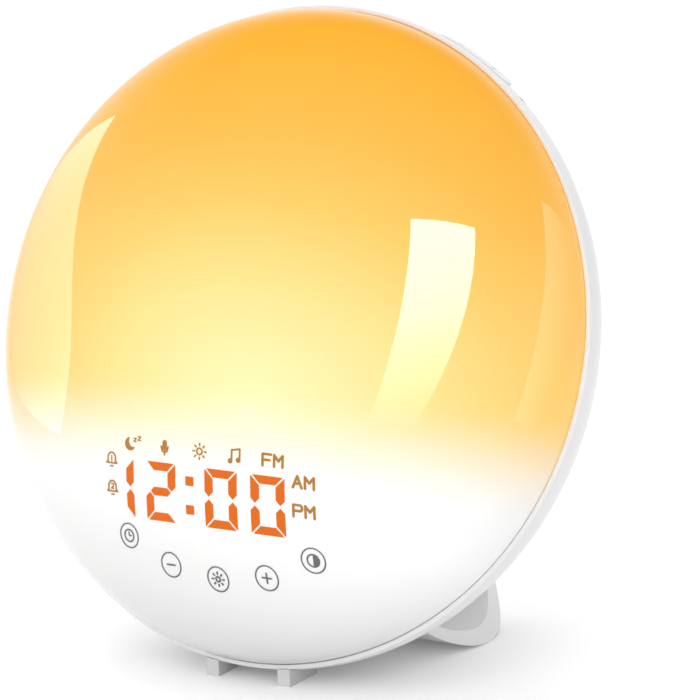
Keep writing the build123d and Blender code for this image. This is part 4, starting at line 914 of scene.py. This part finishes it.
punched_sheet, nodes, links, shader = finish("punched_sheet", sheet_white, sheet_gloss)
flat = places_on(nodes, links, speaker_middle, disc_turn)
holes = nodes.new("ShaderNodeTexVoronoi")
holes.voronoi_dimensions = "2D"
holes.inputs["Scale"].default_value = 1 / punch_pitch
holes.inputs["Randomness"].default_value = 0.0
links.new(flat, holes.inputs["Vector"])
hole_begins = punch_radius - punch_edge
hole_ends = punch_radius + punch_edge
sheet = between(nodes, links, holes.outputs["Distance"], 0.0, 1.0, hole_begins, hole_ends, soft=True)
# Painted holes: dark for the cone and the shade behind the sheet.
links.new(blended(nodes, links, sheet, hole_painted_dark, sheet_white), shader.inputs["Base Color"])
links.new(between(nodes, links, sheet, hole_gloss, sheet_gloss), shader.inputs["Roughness"])
raised(nodes, links, shader, sheet, punch_depth)
wear("speaker_mesh", punched_sheet)

# ---------------------------------------------------------------- rubber boot, key foam
# The microphone sits in a moulded boot of black silicone. Under each touch key a column of
# grey conductive foam carries the finger's touch down to the display board.
boot_silicone = moulded(
    "boot_silicone", (0.035, 0.035, 0.037), (0.024, 0.024, 0.025),
    gloss=0.60, grain_size=0.0004, grain_depth=8e-6, edge=small_edge,
)[0]
wear("microphone_boot", boot_silicone)
key_foam = moulded(
    "key_foam", (0.15, 0.15, 0.155), (0.10, 0.10, 0.104),
    gloss=0.86, grain_size=0.0003, grain_depth=3e-5,
)[0]
wear("touch_columns", key_foam)

# ---------------------------------------------------------------- leads and ribbon
# Stranded leads in soft coloured sleeves, each as long as its run, pushed into the sockets.
# The ribbon is a flat film with copper conductors side by side.
lead_wave = 0.0016
conductor_pitch = 0.0010
conductor_share = 0.58
conductor_height = 2e-5
scuff_size = 0.002
film_pale = (0.74, 0.73, 0.68)
film_dark = (0.66, 0.65, 0.60)
copper_under_film = (0.60, 0.44, 0.30)
film_gloss = (0.22, 0.40)
sleeve_depth = 1.2e-5
sleeve_gloss = 0.36

lead_colours = {
    "speaker_lead": ((0.50, 0.030, 0.022), (0.40, 0.022, 0.016)),
    "jack_lead": ((0.48, 0.026, 0.020), (0.38, 0.018, 0.014)),
    "led_lead": ((0.74, 0.74, 0.72), (0.66, 0.66, 0.64)),
    "rocker_lead": ((0.060, 0.110, 0.340), (0.045, 0.085, 0.270)),
    "microphone_lead": ((0.16, 0.16, 0.165), (0.12, 0.12, 0.125)),
}
for name, (pale, dark) in lead_colours.items():
    wear(name, moulded(f"{name}_sleeve", pale, dark, sleeve_gloss, lead_wave, sleeve_depth)[0])

ribbon_film, nodes, links, shader = finish("ribbon_film", film_pale, film_gloss[0])
x, _, _ = split_places(nodes, links, places_on(nodes, links, disc_centre, disc_turn))
repeat = calculate(nodes, links, "FRACT", calculate(nodes, links, "DIVIDE", x, conductor_pitch))
copper = calculate(nodes, links, "LESS_THAN", repeat, conductor_share)
scuffs = speckle(nodes, links, scuff_size, detail=3.0)
film = blended(nodes, links, scuffs, film_dark, film_pale)
links.new(blended(nodes, links, copper, film, copper_under_film), shader.inputs["Base Color"])
links.new(between(nodes, links, scuffs, *film_gloss), shader.inputs["Roughness"])
raised(nodes, links, shader, copper, conductor_height)
wear("display_ribbon", ribbon_film)
